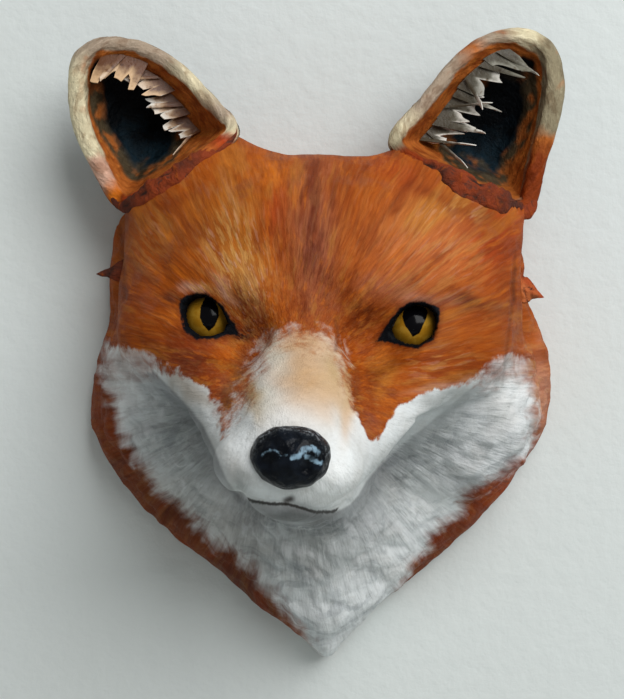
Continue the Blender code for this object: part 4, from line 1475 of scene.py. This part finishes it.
def ear_colours(places, travelled, reach, widths, tones, band_starts, pigments):
    """The ear's paint: black inside, olive below, an orange band, a streaky rim and a dark back."""
    wander = 0.035 * noise_at(places, 7.0, 21.0) + 0.015 * noise_at(places, 2.5, 23.0)
    share = reach[:, None] + wander
    height = (places[..., 2] - places[..., 2].min()) / np.ptp(places[..., 2])
    along = np.linspace(0.0, 1.0, EAR_SPOKES, endpoint=False) + 0.5 * wander
    spread = EAR_RIM_SPREAD * (widths - widths.min())
    streaks = ear_streaks(places, travelled, 14.0, 1.3, 31.0)
    blotches = noise_at(places, 6.0, 51.0)
    specks = noise_at(places, 2.2, 57.0)

    colour = np.broadcast_to(np.asarray(pigments.ear_black), (*places.shape[:-1], 3)).copy()
    colour = cover(colour, np.clip((0.55 - height + 4.0 * wander) / 0.25, 0.0, 1.0), pigments.ear_navy)
    stops, starts = zip(*band_starts)
    band_start = np.interp(along, stops, starts) - spread
    low = np.clip((0.30 - height + 4.0 * wander) / 0.14, 0.0, 1.0) * np.clip((share - 0.25) / 0.25, 0.0, 1.0)
    skirt = np.clip((share - band_start + 0.22) / 0.12, 0.0, 1.0) * np.clip((0.80 - height) / 0.1, 0.0, 1.0)
    colour = cover(colour, np.maximum(low, 0.9 * skirt), pigments.ear_olive)
    patchy = np.clip(1.8 * blotches + 0.6 * specks, 0.0, 0.8)
    colour = cover(colour, np.maximum(low, skirt) * patchy, pigments.ear_orange)
    band = np.clip((share - band_start) / 0.05, 0.0, 1.0)
    colour = cover(colour, band, pigments.ear_orange)
    colour = cover(colour, band * np.clip(1.4 * blotches - 0.5 * streaks, 0.0, 0.7), pigments.rust)
    colour = cover(colour, band * np.clip(1.6 * specks - 0.5, 0.0, 0.7), pigments.ochre)

    rim = np.clip((share - EAR_RIM_START + spread) / 0.02, 0.0, 1.0)
    paint = tones_along(tones, along, pigments)
    paint = paint * (1.0 + 0.22 * np.clip(streaks, -1.0, 0.6) + 0.10 * blotches)[..., None]
    colour = colour + rim[..., None] * (paint - colour)
    inner = rim * np.clip((1.0 - share + 0.5 * wander) / 0.05, 0.0, 1.0)
    colour = cover(colour, inner * np.clip(0.45 + 0.9 * streaks, 0.0, 0.8), pigments.ear_moss)
    stains = rim * np.clip(1.8 * blotches - 0.8 + 0.5 * specks, 0.0, 0.6)
    colour = cover(colour, stains, pigments.ear_orange)

    back = np.clip((share - EAR_BACK_START) / 0.03, 0.0, 1.0)
    colour = cover(colour, back, pigments.ear_back)
    lower_back = back * np.clip((0.40 - height + wander) / 0.2, 0.0, 1.0)
    return cover(colour, lower_back, pigments.rust)


def add_ear(name, rim, widths, tones, band_starts, pigments, material):
    """One cupped ear with its thick wrinkled rim."""
    places, reach = ear_profile(rim, widths)
    travelled = run_along(places)
    height = ear_wrinkles(places, travelled)
    height[:2] = height[-2:] = 0.0
    normals = grid_normals(places)
    if normals[1, :, 1].mean() < 0.0:
        normals = -normals
    places = places + normals * height[..., None]
    piece, vertices = ball_of(name, places)
    floor = places[0, 0]
    around = (places - floor) / np.maximum(np.linalg.norm(places - floor, axis=-1, keepdims=True), 1.0)
    fan = np.stack([around[..., 0], around[..., 2], travelled / 100.0], axis=-1)
    note(piece, "fan", "FLOAT_VECTOR", fan[vertices])
    coat = ear_colours(places, travelled, reach, widths, tones, band_starts, pigments)
    note(piece, "coat", "FLOAT_COLOR", coat[vertices])
    finish_piece(piece, material, "ear_paint", name.replace("_shell", ""))


def seam_path(rim):
    """The line along an ear's front foot, where the paper of the ear is folded over on to the head."""
    edge, floor, _ = ear_shape(rim, SEAM_STEPS)
    inner_corner = np.argmin(np.linalg.norm(edge - np.asarray(rim[INNER_CORNER_KNOT]), axis=1))
    path = edge[np.arange(inner_corner - 3, SEAM_STEPS + 8) % SEAM_STEPS]
    path = path + SEAM_OFFSET * normalised((path - floor) * (1.0, 0.0, 1.0))
    from_wall = path * (1.0, 0.0, 1.0) + (0.0, 2.0, 0.0)
    head = cast_rays(head_form, from_wall, np.broadcast_to((0.0, 1.0, 0.0), path.shape))
    path[:, 1] = np.maximum(head[:, 1] - 0.4, path[:, 1] + 1.6)
    path[:, 1] = np.convolve(np.pad(path[:, 1], 6, "edge"), np.full(13, 1.0 / 13.0), "valid")
    return read_between(np.linspace(0, len(path) - 1, SEAM_RINGS + 1), np.arange(len(path)), path)


def band_places(path, half_widths, half_heights, spokes):
    """Flat rounded sections along a path that lies on the head, broad across it and low."""
    along = normalised(np.gradient(path, axis=0))
    across = normalised(np.cross(along, (0.0, 1.0, 0.0)))
    upward = np.cross(along, across)
    angle = np.linspace(0.0, 2 * math.pi, spokes, endpoint=False)[None, :, None]
    return (
        path[:, None] + half_widths[..., None] * across[:, None] * np.cos(angle)
        + half_heights[..., None] * upward[:, None] * np.sin(angle)
    )


def ear_distance(points, rim):
    """How far points lie from the middle of an ear, seen from the front."""
    return np.linalg.norm((points - ear_shape(rim, EAR_SPOKES)[1]) * (1.0, 0.0, 1.0), axis=-1)


def add_seam(name, rim, half_width, material):
    """A crumpled band of paper that is folded over along an ear's foot."""
    path = seam_path(rim)
    share = np.linspace(0.0, 1.0, len(path))[:, None]
    ends = np.sin(math.pi * share) ** 0.4 * (0.35 + 0.65 * np.clip(share / 0.45, 0.0, 1.0))
    widths = half_width * ends * np.ones(SEAM_SPOKES)
    plain = band_places(path, widths, 0.45 * widths, SEAM_SPOKES)
    run = share * np.linalg.norm(np.diff(path, axis=0), axis=1).sum()
    section = np.linspace(0.0, 2 * math.pi, SEAM_SPOKES, endpoint=False)[None, :]
    side = half_width * np.cos(section)
    wave = (side + 1.2 * np.sin(run / 7.0)) / 2.2
    folded = np.stack([run / 12.0 + 0.0 * wave, wave, 0.0 * wave], axis=-1)
    folds = 1.0 - 2.4 * np.abs(noise_at(folded, 1.0, 3.0))
    lumps = noise_at(plain, 5.0, 1.0) + 0.6 * noise_at(plain, 2.2, 8.0)
    swell = 1.0 + 0.24 * folds + 0.20 * lumps
    swell[0] = swell[-1] = 0.0
    piece, vertices = ball_of(name, band_places(path, widths * swell, 0.45 * widths * swell, SEAM_SPOKES))
    head_side = (ear_distance(plain, rim) - ear_distance(path, rim)[:, None]) / np.maximum(widths, 0.5)
    # Painted shade in the folds' creases and along the side tucked against the head
    tucked = 5.0 * np.clip(head_side + 0.4 * lumps - 0.7, 0.0, 1.0)
    crease_shade = np.clip(-1.8 * folds - 0.5 * lumps + 0.05 + tucked, 0.0, 1.0)
    note(piece, "crease_shade", "FLOAT", crease_shade[vertices])
    finish_piece(piece, material, "orange_paint")


def add_temple_point(name, foot_above, foot_below, tip, thickness, material):
    """A pinched fold of paper that stands out from the side of the head."""
    above, below, tip = (np.asarray(point, float) for point in (foot_above, foot_below, tip))
    inward = np.array([-math.copysign(6.0, tip[0]), 0.0, 0.0])
    swell = np.array([0.0, 0.5 * thickness, 0.0])
    middle = 0.5 * (above + below)
    corners = np.array([above, middle + swell, below, middle - swell]) + inward
    spokes, rings = 32, 24
    around = np.linspace(0.0, 4.0, spokes, endpoint=False)
    corner = around.astype(int)
    root = corners[corner] + (around - corner)[:, None] * (corners[(corner + 1) % 4] - corners[corner])
    places = np.array([root + (tip - root) * share for share in np.linspace(0.0, 1.0, rings)])
    places = np.concatenate([np.broadcast_to(corners.mean(axis=0), root.shape)[None], places])
    crumple = noise_at(places, 4.5, 6.0) + 0.6 * noise_at(places, 2.0, 2.0)
    fade = np.concatenate([[0.0], np.sin(np.linspace(0.0, math.pi, rings)) ** 0.5])
    away = places - (middle + 0.3 * (tip - middle))
    away /= np.maximum(np.linalg.norm(away, axis=-1, keepdims=True), 1e-6)
    places = places + away * (1.1 * crumple * fade[:, None])[..., None]
    piece, vertices = ball_of(name, places)
    # Painted shade in the crumples' creases
    note(piece, "crease_shade", "FLOAT", np.clip(-1.2 * crumple - 0.2, 0.0, 1.0)[vertices])
    finish_piece(piece, material, "orange_paint")


def strip_points(root_a, root_b, lean, reach, tip_share, bow, rows, columns):
    """A torn strip from its root to a slanted tip, bowed forward, as rows of points."""
    t = np.linspace(0.0, 1.0, rows)[:, None]
    s = np.linspace(-1.0, 1.0, columns)[None, :]
    middle = 0.5 * (root_a + root_b)
    half = 0.5 * (root_b - root_a)
    width = 1.0 - (1.0 - tip_share) * t**1.6
    slant = 1.0 + 0.16 * s * np.sin(9.0 * middle[0])
    along = (t * reach * slant)[..., None] * lean
    lift = np.array([0.0, 1.0, 0.0]) * (bow * t**2 + 0.5 * (1.0 - s**2) * t)[..., None]
    return middle + half * (width * s)[..., None] + along + lift


def sheet_points(roots, lean, reach, collar, teeth, blunt, bow, seed):
    """A torn sheet of paper: rows from its glued root to a ragged edge of teeth."""
    even = np.linspace(0.0, teeth, len(roots))
    place = even + 0.30 * np.sin(math.pi * even) * np.sin(2.0 * even + seed)
    tooth = np.clip(place.astype(int), 0, teeth - 1)
    s = 2.0 * (place - tooth) - 1.0
    skew = 0.5 * np.sin(1.7 * tooth + 2.0 * seed)
    size = 0.78 + 0.22 * np.sin(2.3 * tooth + seed)
    rise = np.clip(blunt * (1.0 - np.abs(s - skew) / (1.0 + np.abs(skew))), 0.0, 1.0)
    cut = 1.0 + 0.22 * s * np.sin(3.7 * tooth + seed)
    extent = reach * (collar + (1.0 - collar) * size * rise * cut)
    t = np.linspace(0.0, 1.0, SHEET_ROWS)[:, None]
    turn = 0.14 * np.sin(2.9 * tooth + seed)
    sideways = normalised(np.gradient(roots, axis=0))
    run = t * extent
    beyond = np.clip(run - collar * reach, 0.0, None)
    drift = (beyond * turn)[..., None] * sideways
    lift = bow * (run / reach) ** 2 + 0.12 * beyond * np.sin(1.3 * tooth + seed)
    return roots + run[..., None] * lean + drift + lift[..., None] * (0.0, 1.0, 0.0)


def add_sheet(points, tone, thickness):
    """A sheet of paper through rows of points."""
    rows, columns = points.shape[:2]
    deselect()
    bpy.ops.mesh.primitive_grid_add(x_subdivisions=columns - 1, y_subdivisions=rows - 1, size=2.0)
    sheet = bpy.context.object
    co = np.array([vertex.co for vertex in sheet.data.vertices])
    column = np.rint((co[:, 0] + 1.0) / 2.0 * (columns - 1)).astype(int)
    row = np.rint((co[:, 1] + 1.0) / 2.0 * (rows - 1)).astype(int)
    place = points[row, column]
    metres = np.stack([place[:, 0], -place[:, 1], place[:, 2]], axis=-1) * MM
    sheet.data.vertices.foreach_set("co", metres.ravel())
    note(sheet, "reach", "FLOAT", row / (rows - 1.0))
    note(sheet, "tone", "FLOAT", np.broadcast_to(tone, (columns,))[column])
    thick = sheet.modifiers.new("paper", "SOLIDIFY")
    thick.thickness = thickness
    thick.offset = 0.0
    bpy.ops.object.modifier_apply(modifier="paper")
    return sheet


def add_fringe(name, rim, sheets, strips, sizes, material):
    """Torn paper that hangs just inside the ear's edge: broad sheets with ragged teeth, and loose strips."""
    made = []

    def root_at(shares, up):
        rows, normals = ear_bowl(rim, EAR_SPOKES, (up - 0.02, up, up + 0.02))
        glued = rows[1] - (0.5 * EAR_WALL + 0.6) * normals[1]
        spokes = np.asarray(shares) * EAR_SPOKES
        return read_between(spokes, np.arange(EAR_SPOKES), glued)

    for i, (start, end, up, lean, reach, collar, teeth, blunt) in enumerate(sheets):
        columns = teeth * TOOTH_COLUMNS + 1
        roots = root_at(np.linspace(start, end, columns), up)
        direction = normalised(np.array(lean))
        points = sheet_points(roots, direction, reach, collar, teeth, blunt, 2.2, 1.0 + 2.0 * i)
        tone = 0.05 + 0.30 * i + 0.20 * np.sin(2.0 * np.linspace(0.0, teeth, columns).astype(int) + i)
        made.append(add_sheet(points, tone, sizes.paper_thickness))
    for i, (where, width, up, lean, reach, tip_share, bow) in enumerate(strips):
        root_a, root_b = root_at((where - width, where + width), up)
        layer = np.array([0.0, 1.0 + 0.3 * (i % 3), 0.0])
        direction = normalised(np.array(lean))
        points = strip_points(root_a + layer, root_b + layer, direction, reach, tip_share, bow, 10, 5)
        made.append(add_sheet(points, 0.35 + 0.06 * i + 0.3 * math.sin(4.0 * i), sizes.paper_thickness))
    deselect()
    for sheet in made:
        sheet.select_set(True)
    bpy.context.view_layer.objects.active = made[0]
    bpy.ops.object.join()
    piece = bpy.context.object
    piece.name = piece.data.name = name
    bpy.ops.object.shade_smooth_by_angle(angle=math.radians(40.0))
    finish_piece(piece, material, "torn_paper", name.replace("_strips", ""))


def add_eye(name, side, outline, material):
    """A glass eye with the places of its iris and pupil."""
    unit = round_directions(np.linspace(0.0, math.pi, EYE_RINGS + 1), EYE_SPOKES)
    centre = np.array([side * EYE_CENTRE[0], EYE_CENTRE[1], EYE_CENTRE[2]])
    piece, vertices = ball_of(name, from_face(centre + EYE_RADIUS * unit))
    outward, up = side * unit[..., 0] * EYE_RADIUS, unit[..., 2] * EYE_RADIUS
    pupil = line_distance(outward, up, outline, closed=True) + np.where(unit[..., 1] < 0.0, 9.0, 0.0)
    note(piece, "pupil", "FLOAT", pupil[vertices])
    note(piece, "rim", "FLOAT", np.hypot(unit[..., 0], unit[..., 2])[vertices])
    finish_piece(piece, material, "amber_glass", name.replace("_glass", ""))


def add_lid(name, side, radius, material):
    """The black crusty rim round an eye, thickest at its inner corner."""
    knots = [(outward, up, 0.0) for outward, up in EYE_OPENING]
    edge = smooth_loop(knots, LID_LOOPS)[:, :2]
    edge = edge * (1.0 + 0.7 * radius / np.linalg.norm(edge, axis=1, keepdims=True))
    away = np.linalg.norm(edge, axis=1)
    inner = np.clip(-edge[:, 0] / 9.0, 0.0, 1.0) ** 4
    forward = np.sqrt(np.maximum((EYE_RADIUS + LID_THICKNESS - 0.5) ** 2 - away**2, 9.0)) - 1.0 * inner
    outward, up = EYE_CENTRE[0] + edge[:, 0], EYE_CENTRE[2] + edge[:, 1]
    path = from_face(np.stack([side * outward, EYE_CENTRE[1] + forward, up], axis=-1))
    ahead = normalised(np.roll(path, -1, axis=0) - np.roll(path, 1, axis=0))
    sideways = normalised(np.cross(ahead, face_axes()[1]))
    angle = np.linspace(0.0, 2 * math.pi, LID_SPOKES, endpoint=False)[None, :, None]
    ring = sideways[:, None] * np.cos(angle) + np.cross(sideways, ahead)[:, None] * np.sin(angle)
    crust = noise_at(path[:, None] + ring, 1.3, 5.0)
    radii = radius * (1.0 + 0.5 * inner[:, None] + 0.30 * crust)
    piece, vertices = ring_of(name, path[:, None] + radii[..., None] * ring)
    lower = np.clip(0.4 - 0.1 * edge[:, 1], 0.0, 1.0)[:, None]
    note(piece, "rub", "FLOAT", np.clip(0.5 * lower + 0.5 * crust, 0.0, 0.9)[vertices])
    # The rims get no painted highlight
    note(piece, "painted_highlight", "FLOAT", np.full(len(piece.data.vertices), 9.0))
    finish_piece(piece, material, "black_varnish")


def nose_places():
    """Rings of the nose pad from its front to its back, narrower below, with two nostrils."""
    unit = round_directions(np.linspace(0.0, math.pi, NOSE_RINGS + 1), NOSE_SPOKES)
    side, forward, up = (unit[..., axis] * NOSE_RADII[axis] for axis in range(3))
    side = side * (1.0 + NOSE_TAPER * unit[..., 2])
    nostril_side, nostril_up, radius, depth = NOSTRIL
    away = np.hypot(np.abs(side) - nostril_side, up - nostril_up) / radius
    forward = forward - depth * np.exp(-(away**2)) * np.maximum(unit[..., 1], 0.0)
    places = from_face(np.stack([side, forward, up], axis=-1) + np.asarray(NOSE_CENTRE))
    bumps = 0.45 * noise_at(places, 5.0, 12.0) + 0.20 * noise_at(places, 2.2, 14.0)
    bumps[0], bumps[-1] = bumps[0].mean(), bumps[-1].mean()
    return places + (unit @ face_axes()) * bumps[..., None], unit


def white_edge_at(places, soft_edge):
    """How far inside the white of the face and ruff each place lies, in millimetres."""
    across, down = seen(places)
    edge = -line_distance(across, down, WHITE_OUTLINE, closed=True) * OUTLINE_SCALE / soft_edge
    normals = grid_normals(places)
    under = np.clip((0.1 - normals[..., 1]) / 0.2, 0.0, 1.0)
    under *= np.clip((-normals[..., 2] - 0.2) / 0.2, 0.0, 1.0)
    under *= (places[..., 1] > UNDERSIDE_DEPTH) & (down > UNDERSIDE_DOWN)
    edge = np.maximum(edge, (FAR + WELL_INSIDE) * under - FAR)
    middle_across, middle_down, half_width, half_height, depth = HIDDEN_WHITE
    hidden = (np.abs(across - middle_across) < half_width) & (np.abs(down - middle_down) < half_height)
    hidden &= places[..., 1] < depth
    edge = np.where(hidden, np.maximum(edge, WELL_INSIDE), edge)
    return np.where(places[..., 1] > 0.5, edge, -FAR)


def painted_shade_at(places, furry):
    """How much painted shade darkens the ruff behind the face and just below the cheeks, mouth and chin,
    where shade falls.
    """
    across, down = seen(places)
    behind = 0.85 * np.clip(1.4 * furry - 0.4, 0.0, 1.0) * np.clip((places[..., 1] - 30.0) / 20.0, 0.0, 1.0)
    behind *= np.exp(-np.maximum(face_form(places), 0.0) / SHADE_REACH)
    below = line_distance(across, down, JAW_EDGE, closed=True)
    wander = 1.0 + 0.5 * noise_at(places, 14.0, 71.0)
    reach = np.maximum(below, 0.0) * wander / JAW_SHADE_REACH
    under_jaw = np.clip((below + 0.5) / 2.0, 0.0, 1.0) * np.exp(-(reach**1.3)) * (down > JAW_SHADE_TOP)
    under_jaw *= np.interp(across, JAW_SHADE_PLACES, JAW_SHADE_STRENGTHS)
    shade = np.maximum(0.35 * behind, under_jaw)
    return shade * (1.0 - 0.6 * brushwork(places, CLEAN_WHITE, 0.0))


def mouth_at(places):
    """How far below the mouth each place appears, in pixels, and how much of the mouth is drawn there."""
    across, down = seen(places)
    line = np.asarray(MOUTH_LINE, float)
    below = down - np.interp(across, line[:, 0], line[:, 1])
    ends = np.clip(np.minimum(across - line[0, 0], line[-1, 0] - across) / MOUTH_TAPER, 0.0, 1.0)
    return below, ends * (places[..., 1] > MOUTH_DEPTH)


class FOX_OT_head(bpy.types.Operator):
    """Models the head and ruff, and paints them"""

    bl_idname = "fox.head"
    bl_label = "Head and Ruff"

    def execute(self, context):
        sizes, pigments = context.scene.fox_sizes, context.scene.fox_pigments
        front, travelled = head_front()
        carved = open_rooms(carve_head(front, travelled, sizes))
        carved[-1] = front[-1]
        carved[0] = carved[0].mean(axis=0)
        back = head_back(carved[-1])
        places = np.concatenate([carved, back])
        beyond = np.linspace(0.0, BACK_RUN, len(back))[:, None]
        fan = brush_fan(places, np.concatenate([travelled, travelled[-1] + beyond]))
        piece, vertices = ball_of("head_paper", places)

        furry = ruff_share(places)
        soft_edge = 1.0 + 12.0 * brushwork(places, SOFT_EDGES, 0.0)
        outward, up, forward = from_eye(places)
        behind = np.where(forward > -LID_REACH, 0.0, LID_MISS)
        mouth, mouth_end = mouth_at(places)
        for name, values in (
            ("furry", furry),
            ("shade", painted_shade_at(places, furry)),
            ("light", brushwork(places, LIGHT_BRUSHWORK, 0.08)),
            ("dark", brushwork(places, DARK_BRUSHWORK, 0.30)),
            ("crevice", (0.06 + 0.80 * furry) * (1.0 - brushwork(places, CLEAN_WHITE, 0.0))),
            ("white_edge", white_edge_at(places, soft_edge)),
            ("fray", (5.0 + 15.0 * furry) / soft_edge**0.3),
            ("lid", line_distance(outward, up, EYE_RIM, closed=True) + behind),
            ("mouth", mouth),
            ("mouth_end", mouth_end),
            ("groove", groove_shade(places)),
        ):
            note(piece, name, "FLOAT", values[vertices])
        coat = painted(places, pigments.orange, COAT_SPOTS, pigments)
        breast = painted(places, pigments.white, WHITE_SPOTS, pigments)
        note(piece, "coat", "FLOAT_COLOR", coat[vertices])
        note(piece, "breast", "FLOAT_COLOR", breast[vertices])
        note(piece, "fan", "FLOAT_VECTOR", fan[vertices])
        finish_piece(piece, make_fur_paint("fur_paint", pigments), "orange_paint", "head")
        return {"FINISHED"}


class FOX_OT_ears(bpy.types.Operator):
    """Models both cupped ears with their rims"""

    bl_idname = "fox.ears"
    bl_label = "Ears"

    def execute(self, context):
        sizes, pigments = context.scene.fox_sizes, context.scene.fox_pigments
        material = make_ear_paint("ear_paint")
        width = sizes.rim_width / MM
        for name, rim, side, broad_width, tones, band_starts in (
            ("ear_left_shell", LEFT_EAR_RIM, -1, sizes.left_rim / MM, LEFT_EAR_TONES, LEFT_EAR_BAND),
            ("ear_right_shell", RIGHT_EAR_RIM, 1, sizes.right_rim / MM, RIGHT_EAR_TONES, RIGHT_EAR_BAND),
        ):
            widths = rim_widths(rim, width, broad_width, side)
            add_ear(name, rim, widths, tones, band_starts, pigments, material)
        return {"FINISHED"}


class FOX_OT_seams(bpy.types.Operator):
    """Models the paper folded over at the feet of the ears and the paper points at the temples"""

    bl_idname = "fox.seams"
    bl_label = "Seams and Temple Points"

    def execute(self, context):
        sizes, pigments = context.scene.fox_sizes, context.scene.fox_pigments
        seam_paint = make_seam_paint("seam_paint", pigments, pigments.umber, pigments.seam_red)
        add_seam("ear_seam_left", LEFT_EAR_RIM, sizes.left_seam / MM, seam_paint)
        add_seam("ear_seam_right", RIGHT_EAR_RIM, sizes.right_seam / MM, seam_paint)
        fold_paint = make_seam_paint("fold_paint", pigments, pigments.red, pigments.salmon)
        add_temple_point("temple_fold_left", *LEFT_TEMPLE_POINT, seam_paint)
        add_temple_point("temple_fold_right", *RIGHT_TEMPLE_POINT, fold_paint)
        return {"FINISHED"}


class FOX_OT_fringes(bpy.types.Operator):
    """Hangs the torn paper strips in both ears"""

    bl_idname = "fox.fringes"
    bl_label = "Torn Fringes"

    def execute(self, context):
        sizes, pigments = context.scene.fox_sizes, context.scene.fox_pigments
        tan = make_paper_paint("tan_paper", pigments.paper, pigments.root_brown)
        silver = make_paper_paint("silver_paper", pigments.silver_paper, pigments.root_olive)
        add_fringe("ear_fringe_left_strips", LEFT_EAR_RIM, LEFT_SHEETS, LEFT_STRIPS, sizes, tan)
        add_fringe("ear_fringe_right_strips", RIGHT_EAR_RIM, RIGHT_SHEETS, RIGHT_STRIPS, sizes, silver)
        return {"FINISHED"}


class FOX_OT_eyes(bpy.types.Operator):
    """Sets the glass eyes and their black rims"""

    bl_idname = "fox.eyes"
    bl_label = "Eyes"

    def execute(self, context):
        sizes, pigments = context.scene.fox_sizes, context.scene.fox_pigments
        glass = make_eye_paint("amber_glass", pigments)
        rim = make_varnish("lid_varnish", pigments, 0.0005, (0.28, 0.29, 0.28, 1.0))
        for name, side, pupil in (("left", -1, LEFT_PUPIL), ("right", 1, RIGHT_PUPIL)):
            add_eye(f"eye_{name}_glass", side, pupil, glass)
            add_lid(f"eye_rim_{name}", side, sizes.lid_radius / MM, rim)
        return {"FINISHED"}


class FOX_OT_nose(bpy.types.Operator):
    """Models the varnished nose pad"""

    bl_idname = "fox.nose"
    bl_label = "Nose"

    def execute(self, context):
        places, unit = nose_places()
        piece, vertices = ball_of("nose_pad", places)
        rub = np.clip((np.hypot(unit[..., 0], unit[..., 2]) - 0.80) / 0.15, 0.0, 1.0)
        rub *= np.clip(0.45 + 0.9 * unit[..., 2], 0.0, 1.0)
        note(piece, "rub", "FLOAT", rub[vertices])
        across, down = seen(places)
        # Painted highlights, as distances to their strokes
        painted_highlight = np.full(places.shape[:-1], 9.0)
        for points, half_width in NOSE_PAINTED_HIGHLIGHTS:
            painted_highlight = np.minimum(painted_highlight, line_distance(across, down, points) - half_width)
        note(piece, "painted_highlight", "FLOAT", (painted_highlight + np.where(unit[..., 1] > 0.0, 0.0, 9.0))[vertices])
        material = make_varnish("nose_varnish", context.scene.fox_pigments, 0.0013, (0.20, 0.22, 0.24, 1.0))
        finish_piece(piece, material, "black_varnish", "nose")
        return {"FINISHED"}


class FOX_OT_stage(bpy.types.Operator):
    """Sets up the plaster wall, the floor, the light and the view"""

    bl_idname = "fox.stage"
    bl_label = "Wall, Light and View"

    def execute(self, context):
        scene = context.scene
        stage = scene.fox_stage
        plaster = make_plaster("plaster", scene.fox_pigments)
        for name, place, turn in (
            ("wall", WALL_PLACE, (0.5 * math.pi, 0.0, 0.0)),
            ("floor", FLOOR_PLACE, (0.0, 0.0, 0.0)),
        ):
            deselect()
            bpy.ops.mesh.primitive_plane_add(size=PLANE_SIZE, location=place, rotation=turn)
            plane = context.object
            plane.name = plane.data.name = name
            plane.data.materials.append(plaster)
        self.add_lamp("window", LAMP_PLACE, LAMP_SIZE, stage.lamp_power)
        world = bpy.data.worlds.new("soft_sky")
        world.use_nodes = True
        world.node_tree.nodes["Background"].inputs["Color"].default_value = SKY_COLOUR
        world.node_tree.nodes["Background"].inputs["Strength"].default_value = stage.sky
        scene.world = world
        scene.view_settings.view_transform = "Standard"
        self.add_camera(scene)
        return {"FINISHED"}

    def add_lamp(self, name, place, size, power):
        """A square soft lamp that looks at the middle of the head."""
        bpy.ops.object.light_add(type="AREA", location=place)
        lamp = bpy.context.object
        lamp.name = lamp.data.name = name
        lamp.data.size = size
        lamp.data.energy = power
        lamp.data.color = LAMP_COLOUR
        towards = Vector(LAMP_TARGET) - Vector(place)
        lamp.rotation_euler = towards.to_track_quat("-Z", "Y").to_euler()

    def add_camera(self, scene):
        """A camera square to the wall at the picture's distance."""
        place = (VIEW_SIDE * MM, -VIEW_DISTANCE * MM, 0.0)
        bpy.ops.object.camera_add(location=place, rotation=(0.5 * math.pi, 0.0, 0.0))
        camera = bpy.context.object
        camera.name = camera.data.name = "view"
        camera.data.sensor_width = SENSOR_WIDTH
        camera.data.lens = SENSOR_WIDTH * VIEW_SCALE / PICTURE_HEIGHT
        scene.camera = camera


OPERATORS = (FOX_OT_head, FOX_OT_ears, FOX_OT_seams, FOX_OT_fringes, FOX_OT_eyes, FOX_OT_nose, FOX_OT_stage)


class FOX_PT_panel(bpy.types.Panel):
    """Lists the pieces in the sidebar"""

    bl_idname = "FOX_PT_panel"
    bl_label = "Fox Head"
    bl_space_type = "VIEW_3D"
    bl_region_type = "UI"
    bl_category = "Fox Head"

    def draw(self, context):
        for operator in OPERATORS:
            self.layout.operator(operator.bl_idname)
        for settings in (context.scene.fox_sizes, context.scene.fox_pigments, context.scene.fox_stage):
            for name in settings.bl_rna.properties.keys():
                if name not in ("rna_type", "name"):
                    self.layout.prop(settings, name)


CLASSES = (FoxPigments, FoxSizes, FoxStage, *OPERATORS, FOX_PT_panel)


def register():
    for cls in CLASSES:
        bpy.utils.register_class(cls)
    bpy.types.Scene.fox_pigments = PointerProperty(type=FoxPigments)
    bpy.types.Scene.fox_sizes = PointerProperty(type=FoxSizes)
    bpy.types.Scene.fox_stage = PointerProperty(type=FoxStage)


def unregister():
    del bpy.types.Scene.fox_stage
    del bpy.types.Scene.fox_sizes
    del bpy.types.Scene.fox_pigments
    for cls in reversed(CLASSES):
        bpy.utils.unregister_class(cls)


def main():
    register()
    bpy.ops.fox.head()
    bpy.ops.fox.ears()
    bpy.ops.fox.seams()
    bpy.ops.fox.fringes()
    bpy.ops.fox.eyes()
    bpy.ops.fox.nose()
    bpy.ops.fox.stage()


if __name__ == "__main__":
    main()
